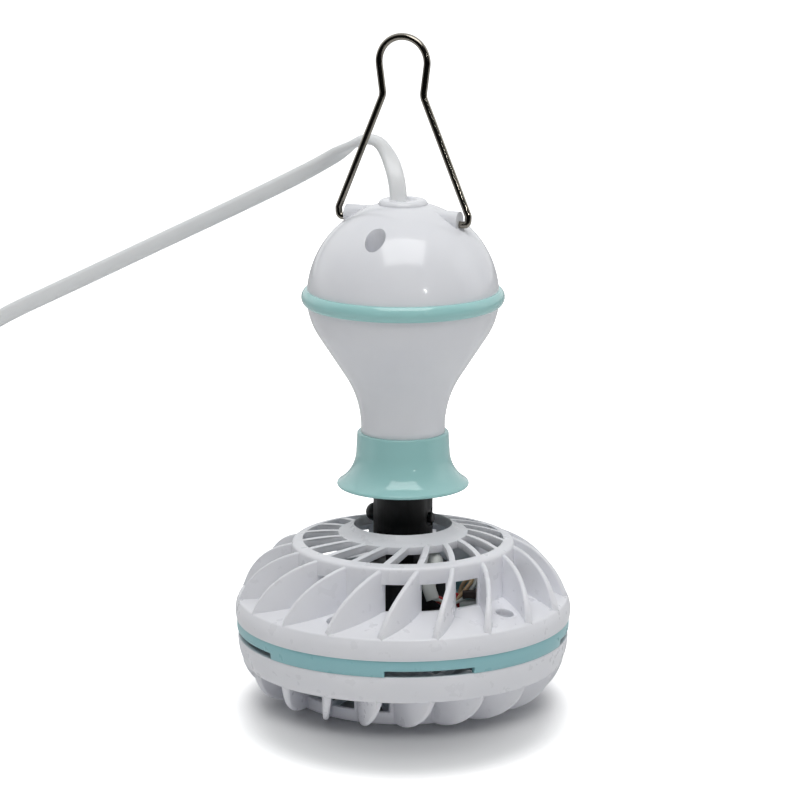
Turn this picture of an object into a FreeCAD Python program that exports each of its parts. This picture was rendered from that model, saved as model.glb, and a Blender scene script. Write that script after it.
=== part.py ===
import FreeCAD, Part
import math
import os

from FreeCAD import Vector

# Portable camping fan, hung by a wire bail: millimetres and degrees, Z up, floor at z = 0.
# X is the bail's hinge line, -Y the front. Azimuths run from -Y towards +X.

# Clearances
snug = 0.05             # between pieces of one body that seat in each other
run_gap = 0.05          # radial, a shaft or pin in its running bore
body_gap = 0.4          # between pieces that move past each other

# Cage: the fan head, resting on the lip of its lower grille
cage_r = 62.5           # widest, on the upper band
cage_wall = 2.0
shelf_t = 1.8           # wall of the cone between band and drum
middle_step = 0.6       # how far the other bands stand inside it: the middle ring
bowl_top_step = 1.0     # lower grille's band at its top edge
bowl_step = 3.3         # and at its bottom edge
rim_step = 1.5          # upper grille's band at its top edge
skirt_h = 13.8          # floor to the lower band
lower_band_h = 10.2
middle_band_h = 6.1
upper_band_h = 8.0
shelf_rise = 4.4
drum_h = 16.5           # upper grille, shelf to crown
crown_rise = 3.1
lip_rise = 3.2
crown_t = 2.8           # depth of the crown's spokes
drum_r = 41.6
drum_wall = 1.8
crown_rim_w = 4.3       # solid edge of the crown and of the floor disc
slot_in_r = 24.0
mouth_r = 18.0          # hole that the drop tube enters
bay_count = 19
front_bay = -5.0        # azimuth of the front screw
fin_t = 2.2
spoke_w = 2.2
swirl_out_step = 1.0    # the fins' curve starts this far inside the rim, and gains these azimuths
swirl_mid = 14.0        # at the drum
swirl_in = 28.7         # at the spokes' inner ends
fin_sag_in = 6.4        # the fins' convex top edge passes here, from the rim
fin_sag_h = 11.4
low_fin_sag_in = 5.6    # and their lower edge here, from the bowl
low_fin_sag_z = 4.3
window_lead = 2.0       # degrees of wall after a fin, before its window
window_trail = 3.6      # and from the window to the next fin
window_h = 10.3
low_window_h = 4.4
low_window_z = 4.6
low_drum_top = 9.4
crown_sag_in = 7.0      # highest point of the spokes, out from their inner ends
floor_disc_z = 1.6      # lower grille's spoked floor, up from the resting lip
floor_disc_t = 2.0
floor_hub_r = 16.0
rest_lip_t = 2.6

# Screws that clamp the three rings of the cage
screw_shift = 0.8       # their circle, inside the middle of the shelf
screw_bays = (0, 4, 9, 14)
boss_r = 4.75
counterbore_r = 3.35
screw_r = 1.45
screw_head_r = 2.8
screw_head_h = 2.0
screw_seat_rise = 5.9   # seat of the heads, above the middle ring
screw_bottom_rise = 1.8 # ends, above the skirt
air_slot_h = 2.3
air_slot_margin = 22.5

# Motor carrier, part of the middle ring
carrier_t = 3.8
carrier_arm_w = 9.0
carrier_hub_r = 22.0
nose_r = 8.0            # motor's nose, seated in the carrier's bore

# Fan motor
motor_r = 19.0
motor_h = 17.5
motor_wall = 1.2
motor_cap_h = 5.0
motor_flange = 1.4
stator_r = 16.6
magnet_r = 9.0
air_gap = 0.6
shaft_r = 2.0
bush_r = 4.0
bush_h = 4.0
motor_screw_circle_r = 13.5
motor_screw_r = 1.2

# Impeller
blade_count = 5
tip_gap = 2.75          # blade tips to the screws' bosses
blade_root_r = 12.0
blade_t = 1.6
blade_low_drop = 0.4    # below the lower band
blade_high_gap = 2.1    # below the motor carrier
blade_root_chord = 17.0
blade_tip_chord = 31.0
blade_camber = 2.6
hub_r = 13.0
hub_low_drop = 2.2
nut_h = 3.4
nut_r = 4.6
nut_dome_h = 1.9
nut_floor_t = 0.6

# Tilt joint between drop tube and fan head
pivot_rise = 18.2       # above the bracket's plate
tube_r = 11.0
tube_wall = 2.2
tube_low_drop = 8.4     # the tube's ears end this far below the pivot
tongue_w = 11.4
tongue_r = 6.5
neck_half = 3.2         # half depth of the tongue below its eye
pocket_r = 9.6          # hollow round the tongue, in the tube
tube_open_drop = 4.9    # and its front and back walls here
rib_h = 6.0
ear_gap = 0.3
tube_web_rise = 11.1
tube_web_t = 2.5
wire_hole_r = 3.0
pivot_r = 2.0
pivot_head_r = 3.45
pivot_head_h = 4.5
pivot_rim_h = 1.6
spot_depth = 0.7
pivot_nut_af = 6.4
pivot_nut_h = 3.0
pivot_nut_sink = 0.4    # nut's face, below the tube's surface
pivot_proud = 1.2       # the screw's end, past it
bracket_base_r = 17.0
bracket_base_t = 2.6
bracket_screw_circle_r = 12.6

# Bulb housing
bulb_r = 35.3
bulb_rise = 59.7        # equator above the neck's lower end
bulb_wall = 2.0
shoulder_r = 26.0       # arc from the equator to the cone
cone_angle = 33.0
throat_r = 36.0         # arc from the cone to the neck
neck_r = 15.5
neck_rise = 22.8        # neck's lower end above the pivot
neck_bore_r = 13.5
neck_floor_t = 1.8
bush_len = 8.0
ring_h = 5.7            # trim ring on the equator
ring_proud = 2.0
ring_rib_h = 1.2
ring_rib_in = 1.7

# Flared collar on the neck
collar_top_r = 16.9
collar_r = 17.3
collar_top_rise = 9.2   # above the neck's lower end
collar_flare_rise = 2.3
collar_flare_r = 14.3
collar_flare_angle = 58.3
collar_lip_r = 24.4
collar_low_drop = 11.2
collar_wall = 2.0

# Dome top: ridge for the bail, gland for the cord, deep screw holes
ridge_r = 3.6
ridge_drop = 6.0        # below the top of the ball
ridge_half = 22.4
bail_drop = 1.2         # below the ridge's axis
bail_hook_in = 8.5      # how far each hook reaches into the ridge
bail_relief_r = 2.4     # recess in the dome where the wire leaves the ridge
gland_r = 9.0
gland_bore_r = 5.3
gland_drop = 2.9        # below the top of the ball
gland_h = 3.6
gland_seat_t = 2.4      # floor under the gland, inside the dome
dome_screw_y = 24.6
access_r = 3.75
access_wall = 1.4
access_floor_rise = 6.1 # above the equator
access_floor_t = 3.0
joint_screw_len = 17.0
joint_boss_r = 3.6
joint_boss_len = 15.0

# Bail wire
bail_r = 1.3
foot_out = 3.2          # wire's feet, out from the ridge's ends
foot_rise = 3.4         # these heights are above the hinge line
throat_x = 7.95
throat_rise = 45.9
loop_x = 10.8           # where the loop's sides would meet its top, drawn straight
bail_rise = 67.2
bail_bends = [1.55, 1.9, 5.0, 9.3]      # centreline radii, from the hook up

# Swing motor in the bulb
swing_r = 20.6
swing_h = 13.0
swing_drop = 14.9       # its lower face, below the equator; what follows is below that face
swing_ear_x = 25.0
swing_ear_t = 1.2
swing_nose_r = 6.0
swing_nose_h = 2.0
swing_shaft_r = 3.0
swing_shaft_len = 17.0
swing_boss_r = 2.9
swing_boss_len = 11.0
coupling_r = 6.6
coupling_low_drop = 24.0
coupling_high_drop = 6.0
tube_top_drop = 18.0
tube_cap_t = 4.0
cross_pin_r = 1.25
stop_rise = 12.8        # above the neck's lower end
stop_h = 4.0
stop_half_angle = 7.0

# Mains lead
cord_r = 3.2
tail_rise = 9.1         # both above the equator
clamp_rise = 15.1
clamp_t = 5.0
clamp_half = 12.0
clamp_screw_x = 8.6
clamp_screw_r = 1.3
clamp_post_r = 2.6
cord_x = -1.8
cord_start_z = 183.0
# Points from the gland, over and back, down to the left and round to the coil on the floor
cord_points = [
    (cord_x, 0.0, cord_start_z),
    (cord_x, 0.0, 189.5),
    (-4.2, 2.2, 196.5),
    (-9.5, 7.5, 202.5),
    (-16.5, 13.5, 206.0),
    (-25.0, 17.5, 205.0),
    (-34.5, 19.5, 199.0),
    (-49.0, 19.0, 190.5),
    (-76.0, 13.5, 176.5),
    (-106.5, 4.5, 161.0),
    (-135.5, -6.0, 146.0),
    (-162.0, -18.0, 132.5),
    (-177.5, -25.0, 120.0),
    (-188.0, -30.0, 101.5),
    (-193.5, -32.5, 79.0),
    (-195.0, -33.0, 55.0),
    (-194.6, -31.0, 33.0),
    (-194.2, -22.0, 13.5),
    (-194.0, -8.5, cord_r),
    (-194.0, 4.6, cord_r),
]
coil_inner_r = 25.6
coil_pitch = 6.85       # between turns of a layer, and between the layers
coil_climb_room = 1.2   # extra room inside the turns where it climbs
coil_half_turns = 6     # in each layer; one more climbs between them
coil_exit_run = 14.0    # straight, before the plug
plug_relief_len = 18.0
plug_body_len = 34.0
plug_body_w = 25.0
plug_edge = 4.0
plug_pin_len = 17.5
plug_pin_w = 6.3
plug_pin_t = 1.5
plug_pin_spacing = 12.7
plug_pin_root = 5.0

# Lead wires inside the cage
wire_r = 0.7
wire_bends = [5.0, 4.0]
wire_routes = [         # x, y and the height above the bracket's plate
    [(4.5, -9.0, 1.2), (12.0, -14.0, 1.6), (19.0, -18.5, -0.2), (21.5, -19.5, -6.2)],
    [(7.5, -9.0, 1.2), (15.0, -12.5, 2.4), (23.0, -16.5, 0.8), (22.0, -15.5, -8.2)],
    [(2.0, -10.5, 1.2), (9.0, -17.0, 1.4), (15.5, -21.5, -1.2), (17.5, -20.5, -9.2)],
]

# Heights and places that follow from the sizes above
middle_r = cage_r - middle_step
bowl_top_r = cage_r - bowl_top_step
bowl_r = cage_r - bowl_step
rim_r = cage_r - rim_step
slot_out_r = drum_r - crown_rim_w
swirl_out_r = rim_r - swirl_out_step
fin_sag_r = rim_r - fin_sag_in
low_fin_sag_r = bowl_r - low_fin_sag_in
crown_sag_r = slot_in_r + crown_sag_in
screw_circle_r = (drum_r + rim_r) / 2 - screw_shift
blade_tip_r = screw_circle_r - boss_r - tip_gap
z_mid = skirt_h + lower_band_h
z_up = z_mid + middle_band_h
z_rim = z_up + upper_band_h
z_shelf = z_rim + shelf_rise
z_drum = z_shelf + drum_h
z_crown = z_drum + crown_rise
z_lip = z_crown + lip_rise
bay = 360.0 / bay_count
seat_z = z_up                       # top of the motor carrier
screw_seat_z = z_up + screw_seat_rise
screw_bottom_z = skirt_h + screw_bottom_rise
blade_low_z = skirt_h - blade_low_drop
blade_high_z = z_up - carrier_t - blade_high_gap
hub_low_z = skirt_h - hub_low_drop
motor_top_z = seat_z + motor_h
bracket_top_z = motor_top_z + bracket_base_t
pivot_z = bracket_top_z + pivot_rise
tube_low_z = pivot_z - tube_low_drop
tube_open_z = pivot_z - tube_open_drop
tube_web_z = pivot_z + tube_web_rise
neck_low_z = pivot_z + neck_rise
collar_top_z = neck_low_z + collar_top_rise
collar_flare_z = neck_low_z + collar_flare_rise
collar_low_z = neck_low_z - collar_low_drop
stop_z = neck_low_z + stop_rise
bulb_z = neck_low_z + bulb_rise
ball_top_z = bulb_z + bulb_r
ridge_z = ball_top_z - ridge_drop
gland_low_z = ball_top_z - gland_drop
access_floor_z = bulb_z + access_floor_rise
tail_low_z = bulb_z + tail_rise
clamp_z = bulb_z + clamp_rise
bail_z = ridge_z - bail_drop
foot_x = ridge_half + foot_out
foot_z = bail_z + foot_rise
throat_z = bail_z + throat_rise
bail_top_z = bail_z + bail_rise
swing_low_z = bulb_z - swing_drop
swing_shaft_low_z = swing_low_z - swing_shaft_len
coupling_low_z = swing_low_z - coupling_low_drop
coupling_high_z = swing_low_z - coupling_high_drop
tube_top_z = swing_low_z - tube_top_drop
bail_bore_r = bail_r + 0.15
tube_in_r = tube_r - tube_wall
coil_r = coil_inner_r + coil_climb_room + coil_pitch * coil_half_turns / 2
swing_top_z = swing_low_z + swing_h
ring_rib_z = bulb_z - ring_rib_h / 2
axis_z = Vector(0, 0, 1)
origin = Vector(0, 0, 0)


def polar(radius, azimuth, z=0.0):
    angle = math.radians(azimuth - 90)
    return Vector(radius * math.cos(angle), radius * math.sin(angle), z)


def turned(shape, azimuth):
    copy = shape.copy()
    copy.rotate(origin, axis_z, azimuth)
    return copy


def outline(start, steps, plane="xz"):
    """Closed face from lines, ("arc", middle, end) and a start point, in the XZ or XY plane."""
    def place(point):
        return Vector(point[0], 0, point[1]) if plane == "xz" else Vector(point[0], point[1], 0)
    edges = []
    here = start
    for step in list(steps) + [start]:
        if step[0] == "arc":
            edges.append(Part.Arc(place(here), place(step[1]), place(step[2])).toShape())
            here = step[2]
        elif math.dist(here, step) > 1e-6:
            edges.append(Part.LineSegment(place(here), place(step)).toShape())
            here = step
    return Part.Face(Part.Wire(edges))


def spun(start, steps, sweep=360.0, azimuth=0.0):
    solid = outline(start, steps).revolve(origin, axis_z, sweep)
    return turned(solid, azimuth)


def washer(r_in, r_out, z_low, z_high, sweep=360.0, azimuth=0.0):
    """Ring, or a sector of one that begins at the azimuth."""
    start = (r_in, z_low)
    return spun(start, [(r_out, z_low), (r_out, z_high), (r_in, z_high)], sweep, azimuth - 90)


def post(radius, z_low, z_high, x=0.0, y=0.0):
    return Part.makeCylinder(radius, z_high - z_low, Vector(x, y, z_low))


def block(x_size, y_size, z_low, z_high, x=0.0, y=0.0):
    corner = Vector(x - x_size / 2, y - y_size / 2, z_low)
    return Part.makeBox(x_size, y_size, z_high - z_low, corner)


def fused(shapes):
    result = shapes[0].fuse(shapes[1:]) if len(shapes) > 1 else shapes[0]
    return result.removeSplitter()


def screw_azimuths():
    return [front_bay + bay * number for number in screw_bays]


def cap(radius, z, rise):
    """Last step of an outline: part of a ball from (radius, z) up, or down, to the axis."""
    ball = (radius ** 2 + rise ** 2) / (2 * abs(rise))
    half = math.asin(radius / ball) / 2
    drop = math.copysign(ball * (1 - math.cos(half)), rise)
    return ("arc", (ball * math.sin(half), z + rise - drop), (0, z + rise))


def pan_screw(head_r, head_h, shank_r, length):
    """Pan-head screw, head up, seat at z = 0 and shank down."""
    edge_h = head_h * 0.55
    return spun((0, -length), [(shank_r, -length), (shank_r, 0), (head_r, 0), (head_r, edge_h),
                cap(head_r, edge_h, head_h - edge_h)])


def set_down(shape, point):
    copy = shape.copy()
    copy.translate(Vector(*point))
    return copy


# The fins' curve in plan, a circle through three polar points

def plan_point(radius, azimuth):
    angle = math.radians(azimuth)
    return (radius * math.cos(angle), radius * math.sin(angle))


def swirl_circle():
    (ax, ay) = plan_point(swirl_out_r, 0.0)
    (bx, by) = plan_point(drum_r, swirl_mid)
    (cx, cy) = plan_point(slot_in_r, swirl_in)
    d = 2 * (ax * (by - cy) + bx * (cy - ay) + cx * (ay - by))
    a2, b2, c2 = ax * ax + ay * ay, bx * bx + by * by, cx * cx + cy * cy
    x = (a2 * (by - cy) + b2 * (cy - ay) + c2 * (ay - by)) / d
    y = (a2 * (cx - bx) + b2 * (ax - cx) + c2 * (bx - ax)) / d
    return x, y, math.dist((x, y), (ax, ay))


def swirl_angle(radius):
    """Angle about the swirl circle's centre where the curve is this far from the axis."""
    x, y, r = swirl_circle()
    reach = math.hypot(x, y)
    spread = math.acos((reach * reach + r * r - radius * radius) / (2 * reach * r))
    return math.atan2(-y, -x) - spread


def swirl_azimuth(radius):
    x, y, r = swirl_circle()
    angle = swirl_angle(radius)
    return math.degrees(math.atan2(y + r * math.sin(angle), x + r * math.cos(angle)))


def swirl_plate(r_in, r_out, thickness, z_low, z_high, hand=1):
    """Upright curved plate along the swirl, its outermost point at azimuth +X; hand -1 mirrors it."""
    x, y, r = swirl_circle()
    first, last = swirl_angle(r_in), swirl_angle(r_out)
    middle = (first + last) / 2

    def at(radius, angle):
        return (x + radius * math.cos(angle), hand * (y + radius * math.sin(angle)))
    thin, thick = r - thickness / 2, r + thickness / 2
    face = outline(at(thin, first), [("arc", at(thin, middle), at(thin, last)), at(thick, last),
                                     ("arc", at(thick, middle), at(thick, first))], "xy")
    plate = face.extrude(Vector(0, 0, z_high - z_low))
    plate.translate(Vector(0, 0, z_low))
    return plate


def fin_turns():
    """How far each of the fins is turned, so that the screws sit in the middle of their bays."""
    first = front_bay + bay / 2 - swirl_azimuth(screw_circle_r)
    return [first - 90 + bay * number for number in range(bay_count)]


def fins(envelope, r_in, thickness, z_low, z_high, hand):
    fin = swirl_plate(r_in, rim_r + 1, thickness, z_low, z_high, hand).common(envelope)
    return [turned(fin, turn) for turn in fin_turns()]


def spoke_gaps(r_in, r_out, z_low, z_high, hand):
    """The openings between the swirling spokes of a disc."""
    zone = washer(r_in, r_out, z_low, z_high)
    strip = swirl_plate(r_in - 2, r_out + 2, spoke_w, z_low - 1, z_high + 1, hand)
    return zone.cut([turned(strip, turn) for turn in fin_turns()])


def drum_windows(r_in, r_out, z_low, z_high, hand, closed):
    cutters = []
    opening = bay - window_lead - window_trail
    gain = hand * swirl_azimuth(drum_r)
    for number, turn in enumerate(fin_turns()):
        if number not in closed:
            start = turn + 90 + gain + window_lead
            cutters.append(washer(r_in, r_out, z_low, z_high, opening, start))
    return cutters


def make_upper_grille():
    outer = [(cage_r - 0.5, z_up), ("arc", (cage_r, z_up + 3.2), (rim_r + 0.6, z_rim - 1.1)),
             ("arc", (rim_r + 0.2, z_rim - 0.3), (rim_r - 0.6, z_rim)),
             (drum_r, z_shelf), (drum_r - 0.3, z_drum - 1.3),
             ("arc", (drum_r - 0.7, z_drum - 0.4), (drum_r - 1.6, z_drum)),
             (slot_out_r, z_drum + 0.5), ("arc", (crown_sag_r, z_drum + 2.1), (slot_in_r, z_crown)),
             (slot_in_r - 3.0, z_crown + 0.5), ("arc", (mouth_r + 1.0, z_lip - 1.0), (mouth_r + 0.3, z_lip))]
    inner = [(mouth_r, z_lip - 0.5), (mouth_r, z_crown - 0.6), (mouth_r + 2.0, z_crown - 1.5),
             (slot_in_r, z_crown - crown_t), (slot_out_r, z_drum + 0.5 - crown_t),
             (drum_r - drum_wall, z_drum - crown_t), (drum_r - drum_wall, z_shelf - shelf_t + 0.4),
             (rim_r - cage_wall, z_rim - shelf_t), (cage_r - cage_wall, z_rim - 4.5),
             (cage_r - 0.5 - cage_wall, z_up)]
    shell = spun(outer[0], outer[1:] + inner)
    closed = [(number - 1) % bay_count for number in screw_bays]
    cutters = drum_windows(drum_r - 3.2, drum_r + 0.2, z_shelf - 0.1, z_shelf + window_h, 1, closed)
    gaps = spoke_gaps(slot_in_r, slot_out_r, z_drum - 2 * crown_t, z_lip + 2, 1)
    shell = shell.cut(cutters + [gaps])
    root_r = drum_r - drum_wall / 2
    envelope = spun((root_r, z_shelf - shelf_t / 2),
                    [(rim_r - 0.8, z_rim - shelf_t / 2), (rim_r - 0.3, z_rim),
                     ("arc", (fin_sag_r, z_rim + fin_sag_h), (drum_r - 0.3, z_drum - 1.0)),
                     (root_r, z_drum - 1.0)])
    vanes = fins(envelope, root_r - 1, fin_t, z_rim - 3, z_drum, 1)
    posts = []
    bores = []
    for azimuth in screw_azimuths():
        at = polar(screw_circle_r, azimuth)
        posts.append(post(boss_r, z_up, z_rim + 1.2, at.x, at.y))
        bores.append(post(counterbore_r, screw_seat_z, z_drum, at.x, at.y))
        bores.append(post(screw_r + snug, z_up - 1, z_drum, at.x, at.y))
    return fused([shell] + posts + vanes).cut(bores)


def make_middle_ring():
    band_in = bowl_top_r - cage_wall
    ring = spun((band_in, z_mid), [(middle_r - 0.3, z_mid), ("arc", (middle_r, z_mid + 2.4),
                (middle_r - 0.1, z_up)), (band_in, z_up)])
    low = z_up - carrier_t
    solids = [ring, washer(nose_r + snug, carrier_hub_r, low, seat_z)]
    reach = band_in + cage_wall / 2
    arm = block(reach - carrier_hub_r + 3, carrier_arm_w, low, z_up, (reach + carrier_hub_r - 3) / 2)
    for azimuth in screw_azimuths():
        solids.append(turned(arm, azimuth - 90))
        at = polar(screw_circle_r, azimuth)
        solids.append(post(boss_r, z_mid, z_up, at.x, at.y))
    cutters = []
    azimuths = screw_azimuths()
    for number, azimuth in enumerate(azimuths):
        at = polar(screw_circle_r, azimuth)
        cutters.append(post(screw_r + snug, z_mid - 1, z_up + 1, at.x, at.y))
        following = azimuths[(number + 1) % len(azimuths)]
        span = (following - azimuth) % 360 - 2 * air_slot_margin
        cutters.append(washer(band_in - 1, middle_r + 1, z_mid - 1, z_mid + air_slot_h, span,
                              azimuth + air_slot_margin))
    for azimuth in motor_screw_azimuths():
        at = polar(motor_screw_circle_r, azimuth)
        cutters.append(post(motor_screw_r + snug, low - 1, seat_z + 1, at.x, at.y))
    return fused(solids).cut(cutters)


def motor_screw_azimuths():
    return [45.0, 165.0, 285.0]


def make_lower_grille():
    outer = [(bowl_top_r, z_mid), ("arc", (bowl_top_r - 0.5, skirt_h + lower_band_h * 0.45),
             (bowl_r, skirt_h)), (bowl_r - 0.8, skirt_h - 0.2), (drum_r, low_drum_top), (drum_r, 0.0)]
    inner = [(drum_r - rest_lip_t, 0.0), (drum_r - rest_lip_t, floor_disc_z), (slot_out_r, floor_disc_z),
             (0.0, floor_disc_z), (0.0, floor_disc_z + floor_disc_t),
             (drum_r - drum_wall, floor_disc_z + floor_disc_t),
             (drum_r - drum_wall, low_drum_top + shelf_t - 0.4),
             (bowl_r - cage_wall - 0.6, skirt_h + shelf_t - 0.6),
             ("arc", (bowl_top_r - cage_wall - 0.5, skirt_h + lower_band_h * 0.5),
              (bowl_top_r - cage_wall, z_mid))]
    shell = spun(outer[0], outer[1:] + inner)
    cutters = drum_windows(drum_r - 3.2, drum_r + 0.2, low_window_z, low_window_z + low_window_h, -1, [])
    disc_top = floor_disc_z + floor_disc_t
    gaps = spoke_gaps(floor_hub_r, slot_out_r, floor_disc_z - 1, disc_top + 1, -1)
    shell = shell.cut(cutters + [gaps])
    root_r = drum_r - drum_wall / 2
    envelope = spun((root_r, low_drum_top + shelf_t / 2),
                    [(root_r, 0.3), (drum_r + 0.6, 0.3), ("arc", (low_fin_sag_r, low_fin_sag_z),
                     (bowl_r - 0.1, skirt_h - 0.1)), (bowl_r - 1.0, skirt_h + shelf_t / 2)])
    vanes = fins(envelope, root_r - 1, fin_t, 0.0, skirt_h + 1, -1)
    posts = []
    bores = []
    for azimuth in screw_azimuths():
        at = polar(screw_circle_r, azimuth)
        posts.append(post(boss_r, skirt_h - 1.2, z_mid, at.x, at.y))
        bores.append(post(screw_r + snug, screw_bottom_z - 0.4, z_mid + 1, at.x, at.y))
    return fused([shell] + posts + vanes).cut(bores)


def make_grille_screws():
    screw = pan_screw(screw_head_r, screw_head_h, screw_r, screw_seat_z - screw_bottom_z)
    points = [polar(screw_circle_r, azimuth, screw_seat_z) for azimuth in screw_azimuths()]
    return Part.makeCompound([set_down(screw, point) for point in points])


# Fan motor, its shaft and the impeller

def make_motor_base():
    """Lower half of the can, with the nose that seats in the carrier."""
    low = seat_z
    split = low + motor_cap_h
    flange_r = motor_r + motor_flange
    body = spun((shaft_r + 1, low), [(motor_r - 1, low),
                ("arc", (motor_r - 0.3, low + 0.3), (motor_r, low + 1)),
                (motor_r, split - motor_wall), (flange_r, split - motor_wall), (flange_r, split),
                (motor_r - motor_wall, split), (motor_r - motor_wall, low + motor_wall),
                (shaft_r + 1, low + motor_wall)])
    nose = post(nose_r, seat_z - carrier_t + 0.4, low + motor_wall + 2)
    bore = post(bush_r + snug, low - carrier_t, low + motor_wall + 3)
    holes = []
    for azimuth in motor_screw_azimuths():
        at = polar(motor_screw_circle_r, azimuth)
        holes.append(post(motor_screw_r + snug, low - 1, low + motor_wall + 1, at.x, at.y))
    return fused([body, nose]).cut([bore] + holes)


def make_motor_can():
    """Upper half of the can, with a boss round the upper bush."""
    split = seat_z + motor_cap_h
    top = motor_top_z
    roof = top - motor_wall
    boss_in, boss_out = bush_r + snug, bush_r + motor_wall
    flange_r = motor_r + motor_flange
    return spun((shaft_r + 2, top), [(shaft_r + 2, roof), (boss_in, roof), (boss_in, roof - bush_h),
                (boss_out, roof - bush_h), (boss_out, roof), (motor_r - motor_wall, roof),
                (motor_r - motor_wall, split), (flange_r, split), (flange_r, split + motor_wall),
                (motor_r, split + motor_wall), (motor_r, roof),
                ("arc", (motor_r - 0.35, top - 0.35), (motor_r - motor_wall, top))])


def make_stator():
    low = seat_z + motor_wall + 2.4
    high = motor_top_z - motor_wall - 2.4
    core = washer(magnet_r + air_gap, stator_r, low, high)
    slots = [turned(block(4.2, 2.4, low - 1, high + 1, magnet_r + air_gap + 3.2), 60 * number)
             for number in range(6)]
    seat = washer(stator_r - 1.5, motor_r - motor_wall - snug, low, high)
    return fused([core.cut(slots), seat])


def make_bushes():
    low = seat_z - carrier_t + 0.4
    top = motor_top_z - motor_wall
    lower = washer(shaft_r + run_gap, bush_r, low, low + bush_h)
    upper = washer(shaft_r + run_gap, bush_r, top - bush_h, top)
    return Part.makeCompound([lower, upper])


def make_motor_screws():
    """From under the carrier, up into the motor's base."""
    length = carrier_t + motor_wall - 0.2
    screw = pan_screw(motor_screw_r * 1.9, 1.4, motor_screw_r, length)
    screw.rotate(origin, Vector(1, 0, 0), 180)
    low = seat_z - carrier_t
    return Part.makeCompound([set_down(screw, polar(motor_screw_circle_r, azimuth, low))
                              for azimuth in motor_screw_azimuths()])


def make_motor_shaft():
    return post(shaft_r, hub_low_z - nut_h + nut_floor_t, motor_top_z - motor_wall)


def make_magnet():
    low = seat_z + motor_wall + 2.4
    high = motor_top_z - motor_wall - bush_h - 0.5
    return washer(shaft_r, magnet_r, low, high)


def blade_section(radius, chord, rise):
    """Cambered plate in the plane x = radius, leaning so that its ends differ in height by the rise."""
    run = math.sqrt(chord * chord - rise * rise)
    middle_z = (blade_low_z + blade_high_z) / 2
    along = Vector(0, run / 2, rise / 2 - blade_t / 2)
    up = Vector(0, -rise / chord, run / chord)
    centre = Vector(radius, 0, middle_z)

    def edge(offset):
        lift = up * offset
        return (centre - along + lift, centre + up * blade_camber + lift, centre + along + lift)
    low, high = edge(-blade_t / 2), edge(blade_t / 2)
    return Part.Wire([Part.Arc(*low).toShape(), Part.LineSegment(low[2], high[2]).toShape(),
                      Part.Arc(high[2], high[1], high[0]).toShape(),
                      Part.LineSegment(high[0], low[0]).toShape()])


def make_impeller():
    rise = blade_high_z - blade_low_z - 2 * blade_t
    root = blade_section(blade_root_r, blade_root_chord, rise)
    tip = blade_section(blade_tip_r + 2, blade_tip_chord, rise * 0.78)
    blade = Part.makeLoft([root, tip], True, True).common(post(blade_tip_r, 0, z_up))
    blades = [turned(blade, 360 / blade_count * number) for number in range(blade_count)]
    high = blade_high_z
    hub = spun((shaft_r, hub_low_z), [(hub_r - 3.5, hub_low_z),
               ("arc", (hub_r - 0.9, hub_low_z + 1.1), (hub_r, hub_low_z + 3.8)), (hub_r, high),
               (hub_r - 1.6, high), (hub_r - 1.6, hub_low_z + 4.4), (shaft_r + 2.6, hub_low_z + 3.4),
               (shaft_r + 2.6, high - 1.2), (shaft_r, high - 1.2)])
    return fused([hub] + blades)


def make_impeller_nut():
    low = hub_low_z - nut_h
    edge_z = low + nut_dome_h
    body = spun((0, hub_low_z), [(nut_r, hub_low_z), (nut_r, edge_z), cap(nut_r, edge_z, -nut_dome_h)])
    return body.cut(post(shaft_r, low + nut_floor_t, hub_low_z + 1))


# Tilt joint: a tongue on the motor bracket, between the ears of the drop tube

def make_bracket():
    base = spun((0, motor_top_z), [(bracket_base_r, motor_top_z), (bracket_base_r, bracket_top_z - 0.8),
                (bracket_base_r - 0.8, bracket_top_z), (0, bracket_top_z)])
    hip_z = pivot_z - math.sqrt(tongue_r ** 2 - neck_half ** 2)
    side = outline((-neck_half, bracket_top_z - 0.5),
                   [(neck_half, bracket_top_z - 0.5), (neck_half, hip_z),
                    ("arc", (tongue_r, pivot_z), (0, pivot_z + tongue_r)),
                    ("arc", (-tongue_r, pivot_z), (-neck_half, hip_z))])
    tongue = side.extrude(Vector(0, tongue_w, 0))
    tongue.translate(Vector(0, -tongue_w / 2, 0))
    tongue.rotate(origin, axis_z, 90)
    rib = outline((neck_half - 0.5, bracket_top_z - 0.5), [(bracket_base_r - 3, bracket_top_z - 0.5),
                  (bracket_base_r - 3, bracket_top_z + 1), (neck_half - 0.5, bracket_top_z + rib_h)])
    rib = rib.extrude(Vector(0, 2.4, 0))
    rib.translate(Vector(0, -1.2, 0))
    ribs = [turned(rib, 90), turned(rib, 270)]
    bore = Part.makeCylinder(pivot_r + run_gap, tongue_w + 2, Vector(-tongue_w / 2 - 1, 0, pivot_z),
                             Vector(1, 0, 0))
    holes = [post(motor_screw_r + snug, motor_top_z - 1, bracket_top_z + 1, x, 0)
             for x in (-bracket_screw_circle_r, bracket_screw_circle_r)]
    return fused([base, tongue] + ribs).cut([bore] + holes)


def make_bracket_screws():
    screw = pan_screw(motor_screw_r * 1.9, 1.4, motor_screw_r, bracket_base_t)
    return Part.makeCompound([set_down(screw, (x, 0, bracket_top_z))
                              for x in (-bracket_screw_circle_r, bracket_screw_circle_r)])


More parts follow.
